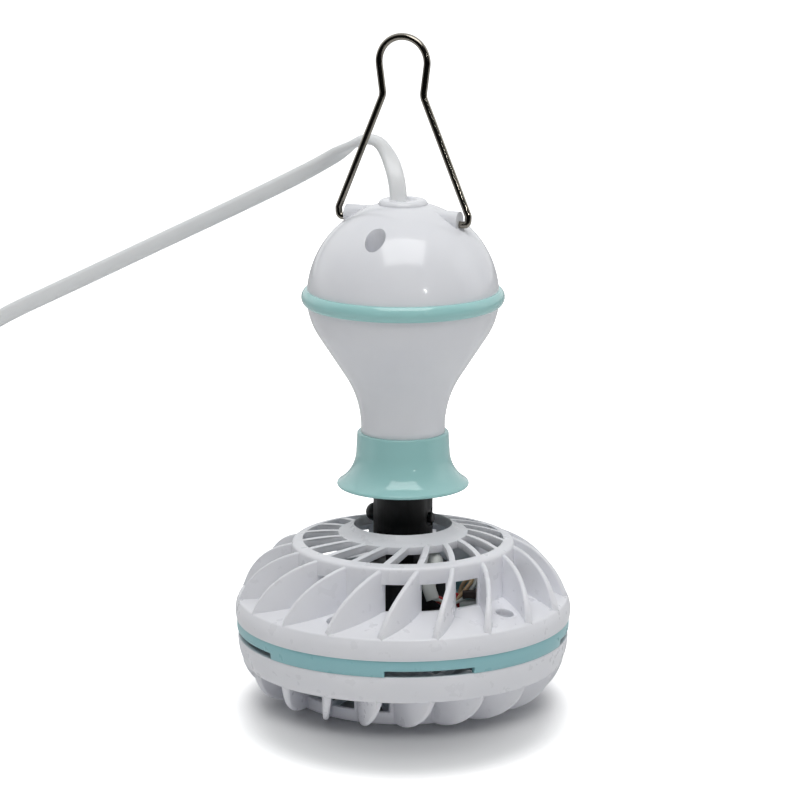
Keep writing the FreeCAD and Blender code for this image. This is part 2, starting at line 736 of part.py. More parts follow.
def make_drop_tube():
    body = post(tube_r, tube_low_z, tube_top_z)
    cavity = post(tube_in_r, tube_web_z + tube_web_t, tube_top_z - tube_cap_t)
    slot_w = tongue_w + 2 * ear_gap
    slot_top = pivot_z + tongue_r + body_gap
    pocket_low = block(slot_w, 3 * tube_r, tube_low_z - 1, slot_top).common(
        post(pocket_r, tube_low_z - 1, slot_top))
    notch = block(slot_w, 3 * tube_r, tube_low_z - 1, tube_open_z)
    bore = Part.makeCylinder(pivot_r + snug, 3 * tube_r, Vector(-1.5 * tube_r, 0, pivot_z), Vector(1, 0, 0))
    spot = Part.makeCylinder(pivot_head_r + 0.35, 3, Vector(-tube_r + spot_depth - 3, 0, pivot_z),
                             Vector(1, 0, 0))
    nut_seat = hexagon(pivot_nut_af + 2 * snug, tube_r - pivot_nut_sink - pivot_nut_h, 2 * pivot_nut_h)
    wires = post(wire_hole_r, slot_top - 4, tube_web_z + tube_web_t + 1)
    window = block(6.0, 4 * tube_r, tube_top_z - tube_cap_t - 8.5, tube_top_z - tube_cap_t - 1.5)
    seat = post(coupling_r + snug, tube_top_z - tube_cap_t - 1, tube_top_z + 1)
    cross = Part.makeCylinder(cross_pin_r + snug, 3 * tube_r,
                              Vector(-1.5 * tube_r, 0, tube_top_z - tube_cap_t / 2), Vector(1, 0, 0))
    tab = washer(tube_r - 1, neck_bore_r - body_gap, stop_z, stop_z + stop_h, 2 * stop_half_angle,
                 90 - stop_half_angle)
    hollows = [cavity, pocket_low, notch, bore, spot, nut_seat, wires, window, seat, cross]
    return fused([body.cut(hollows), tab])


def hexagon(across_flats, x_low, length):
    """Hexagonal prism along X, centred on the pivot."""
    corner = across_flats / math.sqrt(3)
    points = [Vector(x_low, corner * math.sin(math.radians(60 * k + 30)),
                     pivot_z + corner * math.cos(math.radians(60 * k + 30))) for k in range(7)]
    return Part.Face(Part.makePolygon(points)).extrude(Vector(length, 0, 0))


def make_pivot_screw():
    """Domed head on the -X side, seated in its spot face."""
    seat_x = tube_r - spot_depth
    length = seat_x + tube_r + pivot_proud
    screw = spun((0, -length), [(pivot_r - 0.4, -length), (pivot_r, -length + 0.4), (pivot_r, 0),
                 (pivot_head_r, 0), (pivot_head_r, pivot_rim_h),
                 cap(pivot_head_r, pivot_rim_h, pivot_head_h - pivot_rim_h)])
    screw.rotate(origin, Vector(0, 1, 0), -90)
    screw.translate(Vector(-seat_x, 0, pivot_z))
    return screw


def make_pivot_nut():
    start = tube_r - pivot_nut_sink - pivot_nut_h
    nut = hexagon(pivot_nut_af, start, pivot_nut_h)
    return nut.cut(Part.makeCylinder(pivot_r + snug, 3 * pivot_nut_h, Vector(start - 1, 0, pivot_z),
                                     Vector(1, 0, 0)))


def make_coupling():
    body = post(coupling_r, coupling_low_z, coupling_high_z)
    cross = Part.makeCylinder(cross_pin_r + snug, 3 * tube_r,
                              Vector(-1.5 * tube_r, 0, tube_top_z - tube_cap_t / 2), Vector(1, 0, 0))
    return body.cut([post(swing_shaft_r + snug, swing_shaft_low_z - 0.3, coupling_high_z + 1), cross])


def make_cross_pin():
    start = Vector(-tube_r + 0.5, 0, tube_top_z - tube_cap_t / 2)
    return Part.makeCylinder(cross_pin_r, 2 * tube_r - 1, start, Vector(1, 0, 0))


def make_swing_shaft():
    return post(swing_shaft_r, swing_shaft_low_z, swing_low_z + 6)


# Bulb housing

def bulb_outline():
    """Half outline from the equator down to the neck: shoulder arc, cone and throat arc."""
    lean = math.radians(cone_angle)
    r1 = bulb_r - shoulder_r * (1 - math.cos(lean))
    z1 = bulb_z - shoulder_r * math.sin(lean)
    r2 = neck_r + throat_r * (1 - math.cos(lean))
    z2 = z1 - (r1 - r2) / math.tan(lean)
    z3 = z2 - throat_r * math.sin(lean)
    return r1, z1, r2, z2, z3


def bulb_steps(inset):
    """The outline's steps with its wall moved in, from the equator down."""
    r1, z1, r2, z2, z3 = bulb_outline()
    lean = math.radians(cone_angle)
    half = lean / 2
    shift_r, shift_z = inset * math.cos(lean), inset * math.sin(lean)
    shoulder = shoulder_r - inset
    throat = throat_r + inset
    top = bulb_r - shoulder_r
    low = neck_r + throat_r
    return [("arc", (top + shoulder * math.cos(half), bulb_z - shoulder * math.sin(half)),
             (r1 - shift_r, z1 + shift_z)),
            (r2 - shift_r, z2 + shift_z),
            ("arc", (low - throat * math.cos(half), z3 + throat * math.sin(half)), (neck_r - inset, z3))]


def make_bulb():
    top = ring_rib_z - snug
    solid = spun((0, top), [(bulb_r, top), (bulb_r, bulb_z - ring_rib_h)] + bulb_steps(0.0)
                 + [(neck_r, neck_low_z), (0, neck_low_z)])
    cavity = spun((0, top + 1), [(bulb_r - bulb_wall, top + 1), (bulb_r - bulb_wall, bulb_z - ring_rib_h)]
                  + bulb_steps(bulb_wall) + [(neck_bore_r, neck_low_z + neck_floor_t),
                  (0, neck_low_z + neck_floor_t)])
    core = cavity.copy()
    joint_low = top - joint_boss_len
    swing_boss_top = swing_low_z
    posts = []
    holes = [post(tube_r + 0.6, neck_low_z - 1, neck_low_z + neck_floor_t + 1)]
    for side in (-1, 1):
        y = side * dome_screw_y
        x = side * swing_ear_x
        posts.append(fused([post(joint_boss_r, joint_low - 8, top, 0, y),
                            block(2.4, bulb_r - dome_screw_y, joint_low - 8, top - 1, 0,
                                  side * (bulb_r + dome_screw_y) / 2)]).common(core))
        posts.append(post(swing_boss_r, swing_boss_top - swing_boss_len, swing_boss_top, x, 0).common(core))
        holes.append(post(screw_r + snug, top - joint_boss_len + 2, top + 1, 0, y))
        holes.append(post(clamp_screw_r + snug, swing_boss_top - 8, swing_boss_top + 1, x, 0))
    peg_high = stop_z + stop_h
    peg = washer(tube_r + body_gap, neck_bore_r + 4, stop_z, peg_high, 2 * stop_half_angle,
                 270 - stop_half_angle).common(solid)
    return fused([solid.cut(cavity)] + posts + [peg]).cut(holes)


def make_dome():
    low = ring_rib_z + ring_rib_h + snug
    ball = turned(Part.makeSphere(bulb_r, Vector(0, 0, bulb_z)), 45)
    above = post(2 * bulb_r, low, bulb_z + 2 * bulb_r)
    outer = ball.common(above)
    core = turned(Part.makeSphere(bulb_r - bulb_wall, Vector(0, 0, bulb_z)), 45)
    ridge = Part.makeCylinder(ridge_r, 2 * ridge_half, Vector(-ridge_half, 0, ridge_z), Vector(1, 0, 0))
    inside = turned(Part.makeSphere(bulb_r - bulb_wall / 2, Vector(0, 0, bulb_z)), 45)
    boss_top = bulb_z + bulb_r
    tubes = []
    wells = []
    for side in (-1, 1):
        y = side * dome_screw_y
        tubes.append(post(access_r + access_wall, low, boss_top, 0, y).common(inside))
        wells.append(post(access_r, access_floor_z, boss_top + 5, 0, y))
        wells.append(post(screw_r + snug, low - 1, access_floor_z + 1, 0, y))
        wells.append(post(access_r - 0.6, low - 1, access_floor_z - access_floor_t, 0, y))
        foot = Vector(side * foot_x, 0, bail_z)
        inwards = Vector(-side, 0, 0)
        hook_len = foot_x - ridge_half + bail_hook_in + body_gap
        wells.append(Part.makeCylinder(bail_bore_r, hook_len, foot, inwards))
        wells.append(Part.makeCylinder(bail_relief_r, foot_x - ridge_half, foot, inwards))
    wells.append(post(cord_r + 0.3, tail_low_z, ridge_z + 2 * ridge_r, cord_x, 0))
    clamp_posts = [post(clamp_post_r, clamp_z + clamp_t / 2, gland_low_z - gland_seat_t / 2, x, 0)
                   for x in (-clamp_screw_x, clamp_screw_x)]
    seat = post(gland_r + gland_seat_t / 2, gland_low_z - gland_seat_t, gland_low_z).common(ball)
    shell = outer.cut(core)
    clamp_holes = [post(clamp_screw_r + snug, clamp_z, clamp_z + 12, x, 0)
                   for x in (-clamp_screw_x, clamp_screw_x)]
    gland_zone = post(gland_r, gland_low_z, gland_low_z + bulb_r)
    return fused([shell, ridge.cut(core), seat] + tubes + clamp_posts).cut(wells + clamp_holes + [gland_zone])


def make_trim_ring():
    half = ring_h / 2
    low, high = bulb_z - half, bulb_z + half
    face = bulb_r + snug
    rib_r = bulb_r - ring_rib_in
    rib_high = ring_rib_z + ring_rib_h
    return spun((rib_r, ring_rib_z), [(face, ring_rib_z), (face, low),
                (face + 0.5, low), ("arc", (bulb_r + ring_proud, bulb_z), (face + 0.5, high)),
                (face, high), (face, rib_high), (rib_r, rib_high)])


def make_collar():
    lean = math.radians(collar_flare_angle)
    centre_r = collar_r + collar_flare_r

    def flare(radius, angle):
        return (centre_r - radius * math.cos(angle), collar_flare_z - radius * math.sin(angle))
    inner_r = collar_flare_r + collar_wall
    end = flare(collar_flare_r, lean)
    neck_seat = neck_r + snug
    inner_lean = math.asin((collar_flare_z - collar_low_z) / inner_r)
    inner_end = flare(inner_r, inner_lean)
    bottom = math.acos((centre_r - neck_seat) / inner_r)
    return spun((neck_seat, collar_top_z), [(collar_top_r - 0.5, collar_top_z),
                ("arc", (collar_top_r - 0.1, collar_top_z - 0.2), (collar_top_r, collar_top_z - 0.7)),
                (collar_r, collar_flare_z), ("arc", flare(collar_flare_r, lean / 2), end),
                ("arc", (collar_lip_r, (end[1] + collar_low_z) / 2), (collar_lip_r - 0.5, collar_low_z)),
                inner_end,
                ("arc", flare(inner_r, (inner_lean + bottom) / 2), flare(inner_r, bottom)),
                (neck_seat, neck_low_z)])


def make_neck_bush():
    low = neck_low_z + neck_floor_t
    return washer(tube_r + run_gap, neck_bore_r - snug, low, low + bush_len)


def make_gland():
    top = gland_low_z + gland_h
    edge = (gland_r - gland_bore_r) / 2
    middle = gland_bore_r + edge
    return spun((gland_bore_r, gland_low_z), [(gland_r - 0.4, gland_low_z), (gland_r, gland_low_z + 0.6),
                (gland_r, top - edge), ("arc", (middle, top), (gland_bore_r, top - edge))])


def make_joint_screws():
    screw = pan_screw(screw_head_r, screw_head_h, screw_r, joint_screw_len)
    return Part.makeCompound([set_down(screw, (0, side * dome_screw_y, access_floor_z))
                              for side in (-1, 1)])


def make_swing_motor():
    body = spun((0, swing_low_z), [(swing_r - 0.8, swing_low_z), (swing_r, swing_low_z + 0.8),
                (swing_r, swing_top_z - 1.0), (swing_r - 1.0, swing_top_z), (0, swing_top_z)])
    nose = post(swing_nose_r, swing_low_z - swing_nose_h, swing_low_z + 1)
    ears = []
    for side in (-1, 1):
        tab = block(swing_ear_x - swing_r + 2, 6, swing_low_z, swing_low_z + swing_ear_t,
                    side * (swing_ear_x + swing_r - 2) / 2)
        ears.append(tab)
        ears.append(post(3.0, swing_low_z, swing_low_z + swing_ear_t, side * swing_ear_x, 0))
    holes = [post(clamp_screw_r + snug, swing_low_z - 1, swing_low_z + 3, side * swing_ear_x, 0)
             for side in (-1, 1)]
    holes.append(post(swing_shaft_r + run_gap, swing_low_z - 4, swing_low_z + 6.5))
    return fused([body, nose] + ears).cut(holes)


def make_swing_screws():
    screw = pan_screw(2.4, 1.6, clamp_screw_r, 7.0)
    seat = swing_low_z + swing_ear_t
    return Part.makeCompound([set_down(screw, (side * swing_ear_x, 0, seat)) for side in (-1, 1)])


def make_cord_clamp():
    bar = block(2 * clamp_half, 8.0, clamp_z - clamp_t / 2, clamp_z + clamp_t / 2)
    cutters = [post(cord_r + snug, clamp_z - clamp_t, clamp_z + clamp_t, cord_x, 0)]
    cutters += [post(clamp_screw_r + snug, clamp_z - clamp_t, clamp_z + clamp_t, x, 0)
                for x in (-clamp_screw_x, clamp_screw_x)]
    return bar.cut(cutters)


def make_clamp_screws():
    screw = pan_screw(2.3, 1.4, clamp_screw_r, clamp_t + 6)
    screw.rotate(origin, Vector(1, 0, 0), 180)
    return Part.makeCompound([set_down(screw, (x, 0, clamp_z - clamp_t / 2))
                              for x in (-clamp_screw_x, clamp_screw_x)])


# Bail: one bent wire

def rounded_path(points, radii):
    """Wire of straight runs and tangent arcs; radii has one value for each inner point."""
    corners = [Vector(*point) for point in points]
    edges = []
    here = corners[0]
    for number in range(1, len(corners) - 1):
        before = (corners[number - 1] - corners[number]).normalize()
        after = (corners[number + 1] - corners[number]).normalize()
        half_turn = (math.pi - before.getAngle(after)) / 2
        radius = radii[number - 1]
        reach = radius * math.tan(half_turn)
        enter, leave = corners[number] + before * reach, corners[number] + after * reach
        inwards = (before + after).normalize()
        middle = corners[number] + inwards * (radius / math.cos(half_turn) - radius)
        if (enter - here).Length > 1e-6:
            edges.append(Part.LineSegment(here, enter).toShape())
        edges.append(Part.Arc(enter, middle, leave).toShape())
        here = leave
    edges.append(Part.LineSegment(here, corners[-1]).toShape())
    return Part.Wire(edges)


def swept(path, radius):
    """Round bar along a path that starts straight."""
    first = path.OrderedEdges[0]
    start = first.valueAt(first.FirstParameter)
    heading = first.tangentAt(first.FirstParameter)
    profile = Part.Wire([Part.makeCircle(radius, start, heading)])
    return path.makePipeShell([profile], True, False)


def make_bail():
    inner_x = ridge_half - bail_hook_in
    right = [(inner_x, 0, bail_z), (foot_x, 0, bail_z), (foot_x + 0.15, 0, foot_z),
             (throat_x, 0, throat_z), (loop_x, 0, bail_top_z)]
    left = [(-x, y, z) for x, y, z in reversed(right)]
    return swept(rounded_path(right + left, bail_bends + bail_bends[::-1]), bail_r)


# Mains lead, its coil and its plug

def cord_radii():
    points = [Vector(*point) for point in cord_points]
    radii = []
    for before, here, after in zip(points, points[1:], points[2:]):
        turn = (here - before).getAngle(after - here)
        shorter = min((here - before).Length, (after - here).Length)
        radii.append(0.45 * shorter / math.tan(turn / 2))
    return radii


def make_cord_lead():
    radii = cord_radii()
    path = rounded_path(cord_points, radii)
    tube = swept(path, cord_r)
    expected = math.pi * cord_r ** 2 * path.Length
    print("cord radii", [round(radius, 1) for radius in radii])
    print("cord lead length %.1f, volume over expected %.5f" % (path.Length, tube.Volume / expected))
    return tube


def coil_frame():
    """The coil's own frame: it starts at local (coil_r, 0) heading +y, and turns to the left."""
    end, before = Vector(*cord_points[-1]), Vector(*cord_points[-2])
    heading = (end - before)
    heading.z = 0
    heading.normalize()
    turn = math.degrees(math.atan2(heading.y, heading.x)) - 90
    side = Vector(heading.y, -heading.x, 0)
    run_up = 2 * cord_r
    return end + heading * run_up - side * coil_r, turn, run_up


def coil_edges():
    """Half turns of two layers, with a climb in the half turn where the spiral reverses."""
    edges = []
    run_up = coil_frame()[2]
    edges.append(Part.LineSegment(Vector(coil_r, -run_up, 0), Vector(coil_r, 0, 0)).toShape())
    x, side = coil_r, 1
    for number in range(coil_half_turns):
        far = max(x - coil_pitch / 2, coil_inner_r + coil_climb_room)
        if number == coil_half_turns - 1:
            far = coil_inner_r
        edges.append(half_turn(side * x, -side * far, 0.0, side))
        x, side = far, -side
    lift = coil_pitch
    reach = math.sqrt(x * x + lift * lift / 4)
    middle = Vector(0, side * reach, lift / 2)
    first, last = Vector(side * x, 0, 0), Vector(-side * x, 0, lift)
    for start, end, corner in ((first, middle, first + Vector(0, side * reach, 0)),
                               (middle, last, last + Vector(0, side * reach, 0))):
        chord_middle = (start + end) / 2
        centre = start + end - corner
        outwards = (chord_middle - centre).normalize()
        edges.append(Part.Arc(start, centre + outwards * reach, end).toShape())
    side = -side
    for number in range(coil_half_turns):
        far = x + coil_pitch / 2 + (coil_climb_room if number == 0 else 0.0)
        edges.append(half_turn(side * x, -side * far, lift, side))
        x, side = far, -side
    leave = Vector(side * x, side * coil_exit_run, lift)
    edges.append(Part.LineSegment(Vector(side * x, 0, lift), leave).toShape())
    return edges


def half_turn(x_start, x_end, z, side):
    middle_x = (x_start + x_end) / 2
    radius = abs(x_start - x_end) / 2
    return Part.Arc(Vector(x_start, 0, z), Vector(middle_x, side * radius, z), Vector(x_end, 0, z)).toShape()


def placed_on_coil(shape):
    centre, turn, run_up = coil_frame()
    shape.rotate(origin, axis_z, turn)
    shape.translate(centre)
    return shape


def least_self_gap(path):
    points = path.discretize(Distance=2.0)
    near = 1e9
    skip = int(6 * cord_r / 2.0) + 2
    for number, point in enumerate(points):
        for other in points[number + skip:]:
            near = min(near, point.distanceToPoint(other))
    return near - 2 * cord_r


def make_cord_coil():
    path = Part.Wire(coil_edges())
    tube = swept(path, cord_r)
    expected = math.pi * cord_r ** 2 * path.Length
    print("coil length %.1f, volume over expected %.5f" % (path.Length, tube.Volume / expected))
    print("coil least self gap %.3f" % least_self_gap(path))
    return placed_on_coil(tube)


def along_plug(shape):
    """Move a shape modelled along +X to the coil's end, at its far side and heading back."""
    shape.rotate(origin, axis_z, -90)
    shape.translate(Vector(-coil_r, -coil_exit_run, coil_pitch))
    return placed_on_coil(shape)


def make_plug():
    half_h = cord_r + coil_pitch
    relief_r = cord_r + 1.4
    relief = Part.makeCone(cord_r + 0.6, relief_r + 2.2, plug_relief_len + 1, origin, Vector(1, 0, 0))
    grooves = []
    for number in range(4):
        x = 3.0 + 3.6 * number
        ring = Part.makeCylinder(relief_r + 5, 1.2, Vector(x, 0, 0), Vector(1, 0, 0))
        grooves.append(ring.cut(Part.makeCylinder(cord_r + 0.5, 1.2, Vector(x, 0, 0), Vector(1, 0, 0))))
    body = Part.makeBox(plug_body_len, plug_body_w, 2 * half_h,
                        Vector(plug_relief_len, -plug_body_w / 2, -half_h))
    body = body.makeFillet(plug_edge, [edge for edge in body.Edges if abs(edge.tangentAt(0).x) > 0.9])
    shoulders = Part.makeCone(half_h * 0.8, plug_body_w, 16, Vector(plug_relief_len, 0, 0), Vector(1, 0, 0))
    rest = Part.makeBox(plug_body_len, 2 * plug_body_w, 4 * half_h,
                        Vector(plug_relief_len + 14, -plug_body_w, -2 * half_h))
    body = body.common(fused([shoulders, rest]))
    grips = []
    for number in range(4):
        for side in (-1, 1):
            y = side * (plug_body_w / 2 + 0.6)
            x = plug_relief_len + 19 + 3.0 * number
            grips.append(Part.makeCylinder(1.2, 2 * half_h - 8, Vector(x, y, -half_h + 4)))
    root = plug_relief_len + plug_body_len - plug_pin_root
    slots = [Part.makeBox(plug_pin_root + 1, plug_pin_t, plug_pin_w,
                          Vector(root, y - plug_pin_t / 2, -plug_pin_w / 2))
             for y in (-plug_pin_spacing / 2, plug_pin_spacing / 2)]
    return along_plug(fused([relief.cut(grooves), body]).cut(grips + slots))


def make_plug_pins():
    """Flat pins, rooted in the plug's body."""
    pins = []
    start = plug_relief_len + plug_body_len - plug_pin_root
    length = plug_pin_root + plug_pin_len
    for y in (-plug_pin_spacing / 2, plug_pin_spacing / 2):
        corner = Vector(start, y - plug_pin_t / 2, -plug_pin_w / 2)
        pin = Part.makeBox(length, plug_pin_t, plug_pin_w, corner)
        tip = [edge for edge in pin.Edges
               if edge.BoundBox.XMin > start + length - 0.1 and edge.BoundBox.ZLength < 0.1]
        pins.append(pin.makeFillet(plug_pin_w / 4, tip))
    return along_plug(Part.makeCompound(pins))


def make_cord_tail():
    return post(cord_r, tail_low_z, cord_start_z, cord_x, 0)


def make_lead_wires():
    """Three wires from beside the tongue down to the motor's side."""
    wires = []
    for route in wire_routes:
        points = [(x, y, bracket_top_z + rise) for x, y, rise in route]
        wires.append(swept(rounded_path(points, wire_bends), wire_r))
    return Part.makeCompound(wires)


makers = {
    "upper_grille": make_upper_grille,
    "middle_ring": make_middle_ring,
    "lower_grille": make_lower_grille,
    "grille_screws": make_grille_screws,
    "motor_base": make_motor_base,
    "motor_can": make_motor_can,
    "motor_stator": make_stator,
    "motor_bushes": make_bushes,
    "motor_screws": make_motor_screws,
    "motor_bracket": make_bracket,
    "bracket_screws": make_bracket_screws,
    "lead_wires": make_lead_wires,
    "motor_shaft": make_motor_shaft,
    "motor_magnet": make_magnet,
    "impeller": make_impeller,
    "impeller_nut": make_impeller_nut,
    "drop_tube": make_drop_tube,
    "pivot_screw": make_pivot_screw,
    "pivot_nut": make_pivot_nut,
    "swing_coupling": make_coupling,
    "cross_pin": make_cross_pin,
    "swing_shaft": make_swing_shaft,
    "bulb_shell": make_bulb,
    "upper_dome": make_dome,
    "trim_ring": make_trim_ring,
    "flared_collar": make_collar,
    "neck_bush": make_neck_bush,
    "gland_ring": make_gland,
    "joint_screws": make_joint_screws,
    "swing_motor": make_swing_motor,
    "swing_screws": make_swing_screws,
    "cord_tail": make_cord_tail,
    "cord_clamp": make_cord_clamp,
    "clamp_screws": make_clamp_screws,
    "bail_wire": make_bail,
    "cord_lead": make_cord_lead,
    "cord_coil": make_cord_coil,
    "plug_body": make_plug,
    "plug_pins": make_plug_pins,
}

os.makedirs("parts", exist_ok=True)
for name, maker in makers.items():
    shape = maker()
    solids = len(shape.Solids)
    print("%-16s solids %d  volume %.1f  valid %s" % (name, solids, shape.Volume, shape.isValid()))
    shape.exportStep("parts/%s.step" % name)
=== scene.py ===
import math

import bmesh
import bpy
from mathutils import Matrix, Vector


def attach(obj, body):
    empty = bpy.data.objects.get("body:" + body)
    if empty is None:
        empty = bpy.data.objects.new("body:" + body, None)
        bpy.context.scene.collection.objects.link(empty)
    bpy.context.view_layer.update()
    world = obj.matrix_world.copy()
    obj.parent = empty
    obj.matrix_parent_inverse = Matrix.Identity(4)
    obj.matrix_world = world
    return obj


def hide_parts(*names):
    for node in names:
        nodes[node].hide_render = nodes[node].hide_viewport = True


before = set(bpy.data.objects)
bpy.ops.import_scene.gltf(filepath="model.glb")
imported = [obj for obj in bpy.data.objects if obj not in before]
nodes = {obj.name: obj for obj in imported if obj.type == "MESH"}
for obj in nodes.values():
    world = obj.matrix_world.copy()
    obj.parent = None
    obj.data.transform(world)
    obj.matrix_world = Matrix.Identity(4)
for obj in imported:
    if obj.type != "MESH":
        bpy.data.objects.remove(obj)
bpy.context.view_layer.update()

scene = bpy.context.scene
mm = 0.001


# Small helpers: colour, nodes, objects

def hexToLinear(code):
    channels = [int(code[i:i + 2], 16) / 255 for i in (1, 3, 5)]
    return [c / 12.92 if c <= 0.04045 else ((c + 0.055) / 1.055) ** 2.4 for c in channels] + [1.0]


def addNode(tree, kind, inputs=None, **settings):
    node = tree.nodes.new(kind)
    for name, value in settings.items():
        setattr(node, name, value)
    for name, value in (inputs or {}).items():
        if isinstance(value, bpy.types.NodeSocket):
            tree.links.new(value, node.inputs[name])
        else:
            node.inputs[name].default_value = value
    return node


def paint(piece, material):
    piece.data.materials.clear()
    piece.data.materials.append(material)


def newObject(name, mesh, material=None):
    piece = bpy.data.objects.new(name, mesh)
    scene.collection.objects.link(piece)
    if material is not None:
        paint(piece, material)
    return piece


def plainMesh(name, shape):
    mesh = bpy.data.meshes.new(name)
    shape.to_mesh(mesh)
    shape.free()
    return mesh


def modify(piece, kind, **settings):
    modifier = piece.modifiers.new(kind.title(), kind)
    for name, value in settings.items():
        setattr(modifier, name, value)
    return modifier


def baked(piece):    # the piece again, as a plain mesh with its modifiers' result
    bpy.context.view_layer.update()
    evaluated = piece.evaluated_get(bpy.context.evaluated_depsgraph_get())
    mesh = bpy.data.meshes.new_from_object(evaluated)
    old = piece.data
    piece.modifiers.clear()
    piece.data = mesh
    if old.users == 0:
        bpy.data.meshes.remove(old)
    return piece


def smoothBy(piece, degrees):    # smooth faces, with sharp edges where the surface turns more
    mesh = piece.data
    mesh.polygons.foreach_set("use_smooth", [True] * len(mesh.polygons))
    mesh.set_sharp_from_angle(angle=math.radians(degrees))
    mesh.update()


def removeObject(piece):
    data = piece.data
    bpy.data.objects.remove(piece)
    bpy.data.meshes.remove(data)


# Materials

def materialTree(name):
    material = bpy.data.materials.new(name)
    material.use_nodes = True
    material.node_tree.nodes.clear()
    return material, material.node_tree


surface = {    # distances in millimetres over which a moulded or drawn surface changes
    "flow": 22.0, "wear": 6.0, "sink": 14.0, "cloud": 5.0, "sinkShare": 4.0, "scatter": 1.5,
    "mouldBump": 0.35, "drawBump": 0.15, "drawDepth": 0.02,
}


def mouldedPlastic(name, base, tint, roughness, ior, grainMm, grainDepth, soft=0.0, through=0.0):
    # faint clouds of colour, a roughness worn in patches, fine grain, and shallow sinks from the mould
    material, tree = materialTree(name)
    place = addNode(tree, "ShaderNodeTexCoord").outputs["Object"]
    flow = addNode(tree, "ShaderNodeTexNoise", {"Vector": place, "Scale": 1 / (surface["flow"] * mm),
                   "Detail": 3.0})
    colour = addNode(tree, "ShaderNodeMix", {0: flow.outputs["Fac"], 6: hexToLinear(base),
                     7: hexToLinear(tint)}, data_type="RGBA").outputs[2]
    worn = addNode(tree, "ShaderNodeTexNoise", {"Vector": place, "Scale": 1 / (surface["wear"] * mm),
                   "Detail": 4.0})
    rough = addNode(tree, "ShaderNodeMapRange", {"Value": worn.outputs["Fac"], "From Min": 0.3,
                    "From Max": 0.7, "To Min": roughness * 0.85, "To Max": roughness * 1.2})
    grain = addNode(tree, "ShaderNodeTexNoise", {"Vector": place, "Scale": 1 / (grainMm * mm), "Detail": 2.0})
    wave = addNode(tree, "ShaderNodeTexNoise", {"Vector": place, "Scale": 1 / (surface["sink"] * mm),
                   "Detail": 1.0})
    relief = addNode(tree, "ShaderNodeMath", {0: wave.outputs["Fac"], 1: surface["sinkShare"]},
                     operation="MULTIPLY")
    both = addNode(tree, "ShaderNodeMath", {0: grain.outputs["Fac"], 1: relief.outputs[0]}, operation="ADD")
    bump = addNode(tree, "ShaderNodeBump", {"Height": both.outputs[0], "Strength": surface["mouldBump"],
                   "Distance": grainDepth * mm})
    shader = addNode(tree, "ShaderNodeBsdfPrincipled", {"Base Color": colour,
                     "Roughness": rough.outputs[0], "IOR": ior, "Normal": bump.outputs[0]})
    shader.inputs["Subsurface Weight"].default_value = soft
    shader.inputs["Subsurface Radius"].default_value = (1.0, 0.95, 0.9)
    shader.inputs["Subsurface Scale"].default_value = surface["scatter"] * mm
    # a thin wall lets some of the light through
    thin = addNode(tree, "ShaderNodeBsdfTranslucent", {"Color": colour})
    mixed = addNode(tree, "ShaderNodeMixShader", {0: through, 1: shader.outputs[0], 2: thin.outputs[0]})
    addNode(tree, "ShaderNodeOutputMaterial", {"Surface": mixed.outputs[0] if through else shader.outputs[0]})
    return material


def drawnMetal(name, base, tint, roughness, streakMm):
    # clouds of tarnish, and streaks that vary the roughness and lift the surface a little
    material, tree = materialTree(name)
    place = addNode(tree, "ShaderNodeTexCoord").outputs["Object"]
    cloud = addNode(tree, "ShaderNodeTexNoise", {"Vector": place, "Scale": 1 / (surface["cloud"] * mm),
                    "Detail": 4.0})
    colour = addNode(tree, "ShaderNodeMix", {0: cloud.outputs["Fac"], 6: hexToLinear(base),
                     7: hexToLinear(tint)}, data_type="RGBA").outputs[2]
    streak = addNode(tree, "ShaderNodeTexNoise", {"Vector": place, "Scale": 1 / (streakMm * mm),
                     "Detail": 2.0})
    rough = addNode(tree, "ShaderNodeMapRange", {"Value": streak.outputs["Fac"], "From Min": 0.3,
                    "From Max": 0.7, "To Min": roughness * 0.7, "To Max": roughness * 1.5})
    bump = addNode(tree, "ShaderNodeBump", {"Height": streak.outputs["Fac"], "Strength": surface["drawBump"],
                   "Distance": surface["drawDepth"] * mm})
    shader = addNode(tree, "ShaderNodeBsdfPrincipled", {"Base Color": colour,
                     "Roughness": rough.outputs[0], "Normal": bump.outputs[0], "Metallic": 1.0})
    addNode(tree, "ShaderNodeOutputMaterial", {"Surface": shader.outputs[0]})
    return material


# Plastics: base colour, tint, roughness, IOR, grain size and depth in millimetres, softness of the light
# inside, and the share that passes through. The grain is drawn coarser than the real one, so that it shows.

# ABS from a polished mould: a clean gloss, with small hard highlights on the dome
whiteAbs = mouldedPlastic("white_abs_gloss_moulded", "#E9EAEF", "#EFF0F3", 0.13, 1.53, 0.5, 0.012, 0.1)
# ABS from a satin mould: blue-green, with a broad dull sheen on the band between the grilles
bandAbs = mouldedPlastic("teal_abs_satin_moulded", "#92C6CC", "#9ACCD1", 0.3, 1.53, 0.5, 0.02, 0.1)
# the cage's white ABS: satin, so that its fins show by shade alone, and bright where light comes through
cageAbs = mouldedPlastic("white_abs_satin_moulded", "#EEEFF4", "#F3F3F6", 0.3, 1.53, 0.6, 0.012, 0.1, 0.03)
# glossy mint ABS: a thin bright line along the trim ring, and a lit patch on the collar's flare
tealAbs = mouldedPlastic("teal_abs_gloss_moulded", "#A2D4D2", "#A9D9D7", 0.1, 1.55, 0.5, 0.012, 0.08)
# nylon with black pigment: deep and nearly without highlights
blackNylon = mouldedPlastic("black_nylon_moulded", "#030304", "#060607", 0.5, 1.45, 0.4, 0.04)
# baked paint on steel: black, with a soft edge of light on the motor can
blackPaint = mouldedPlastic("black_painted_steel", "#0A0A0B", "#111113", 0.42, 1.5, 0.5, 0.03)
# acetal from the lathe: off-white and waxy
bushAcetal = mouldedPlastic("white_acetal_turned", "#E4E4DF", "#EBEBE7", 0.45, 1.48, 0.4, 0.02)
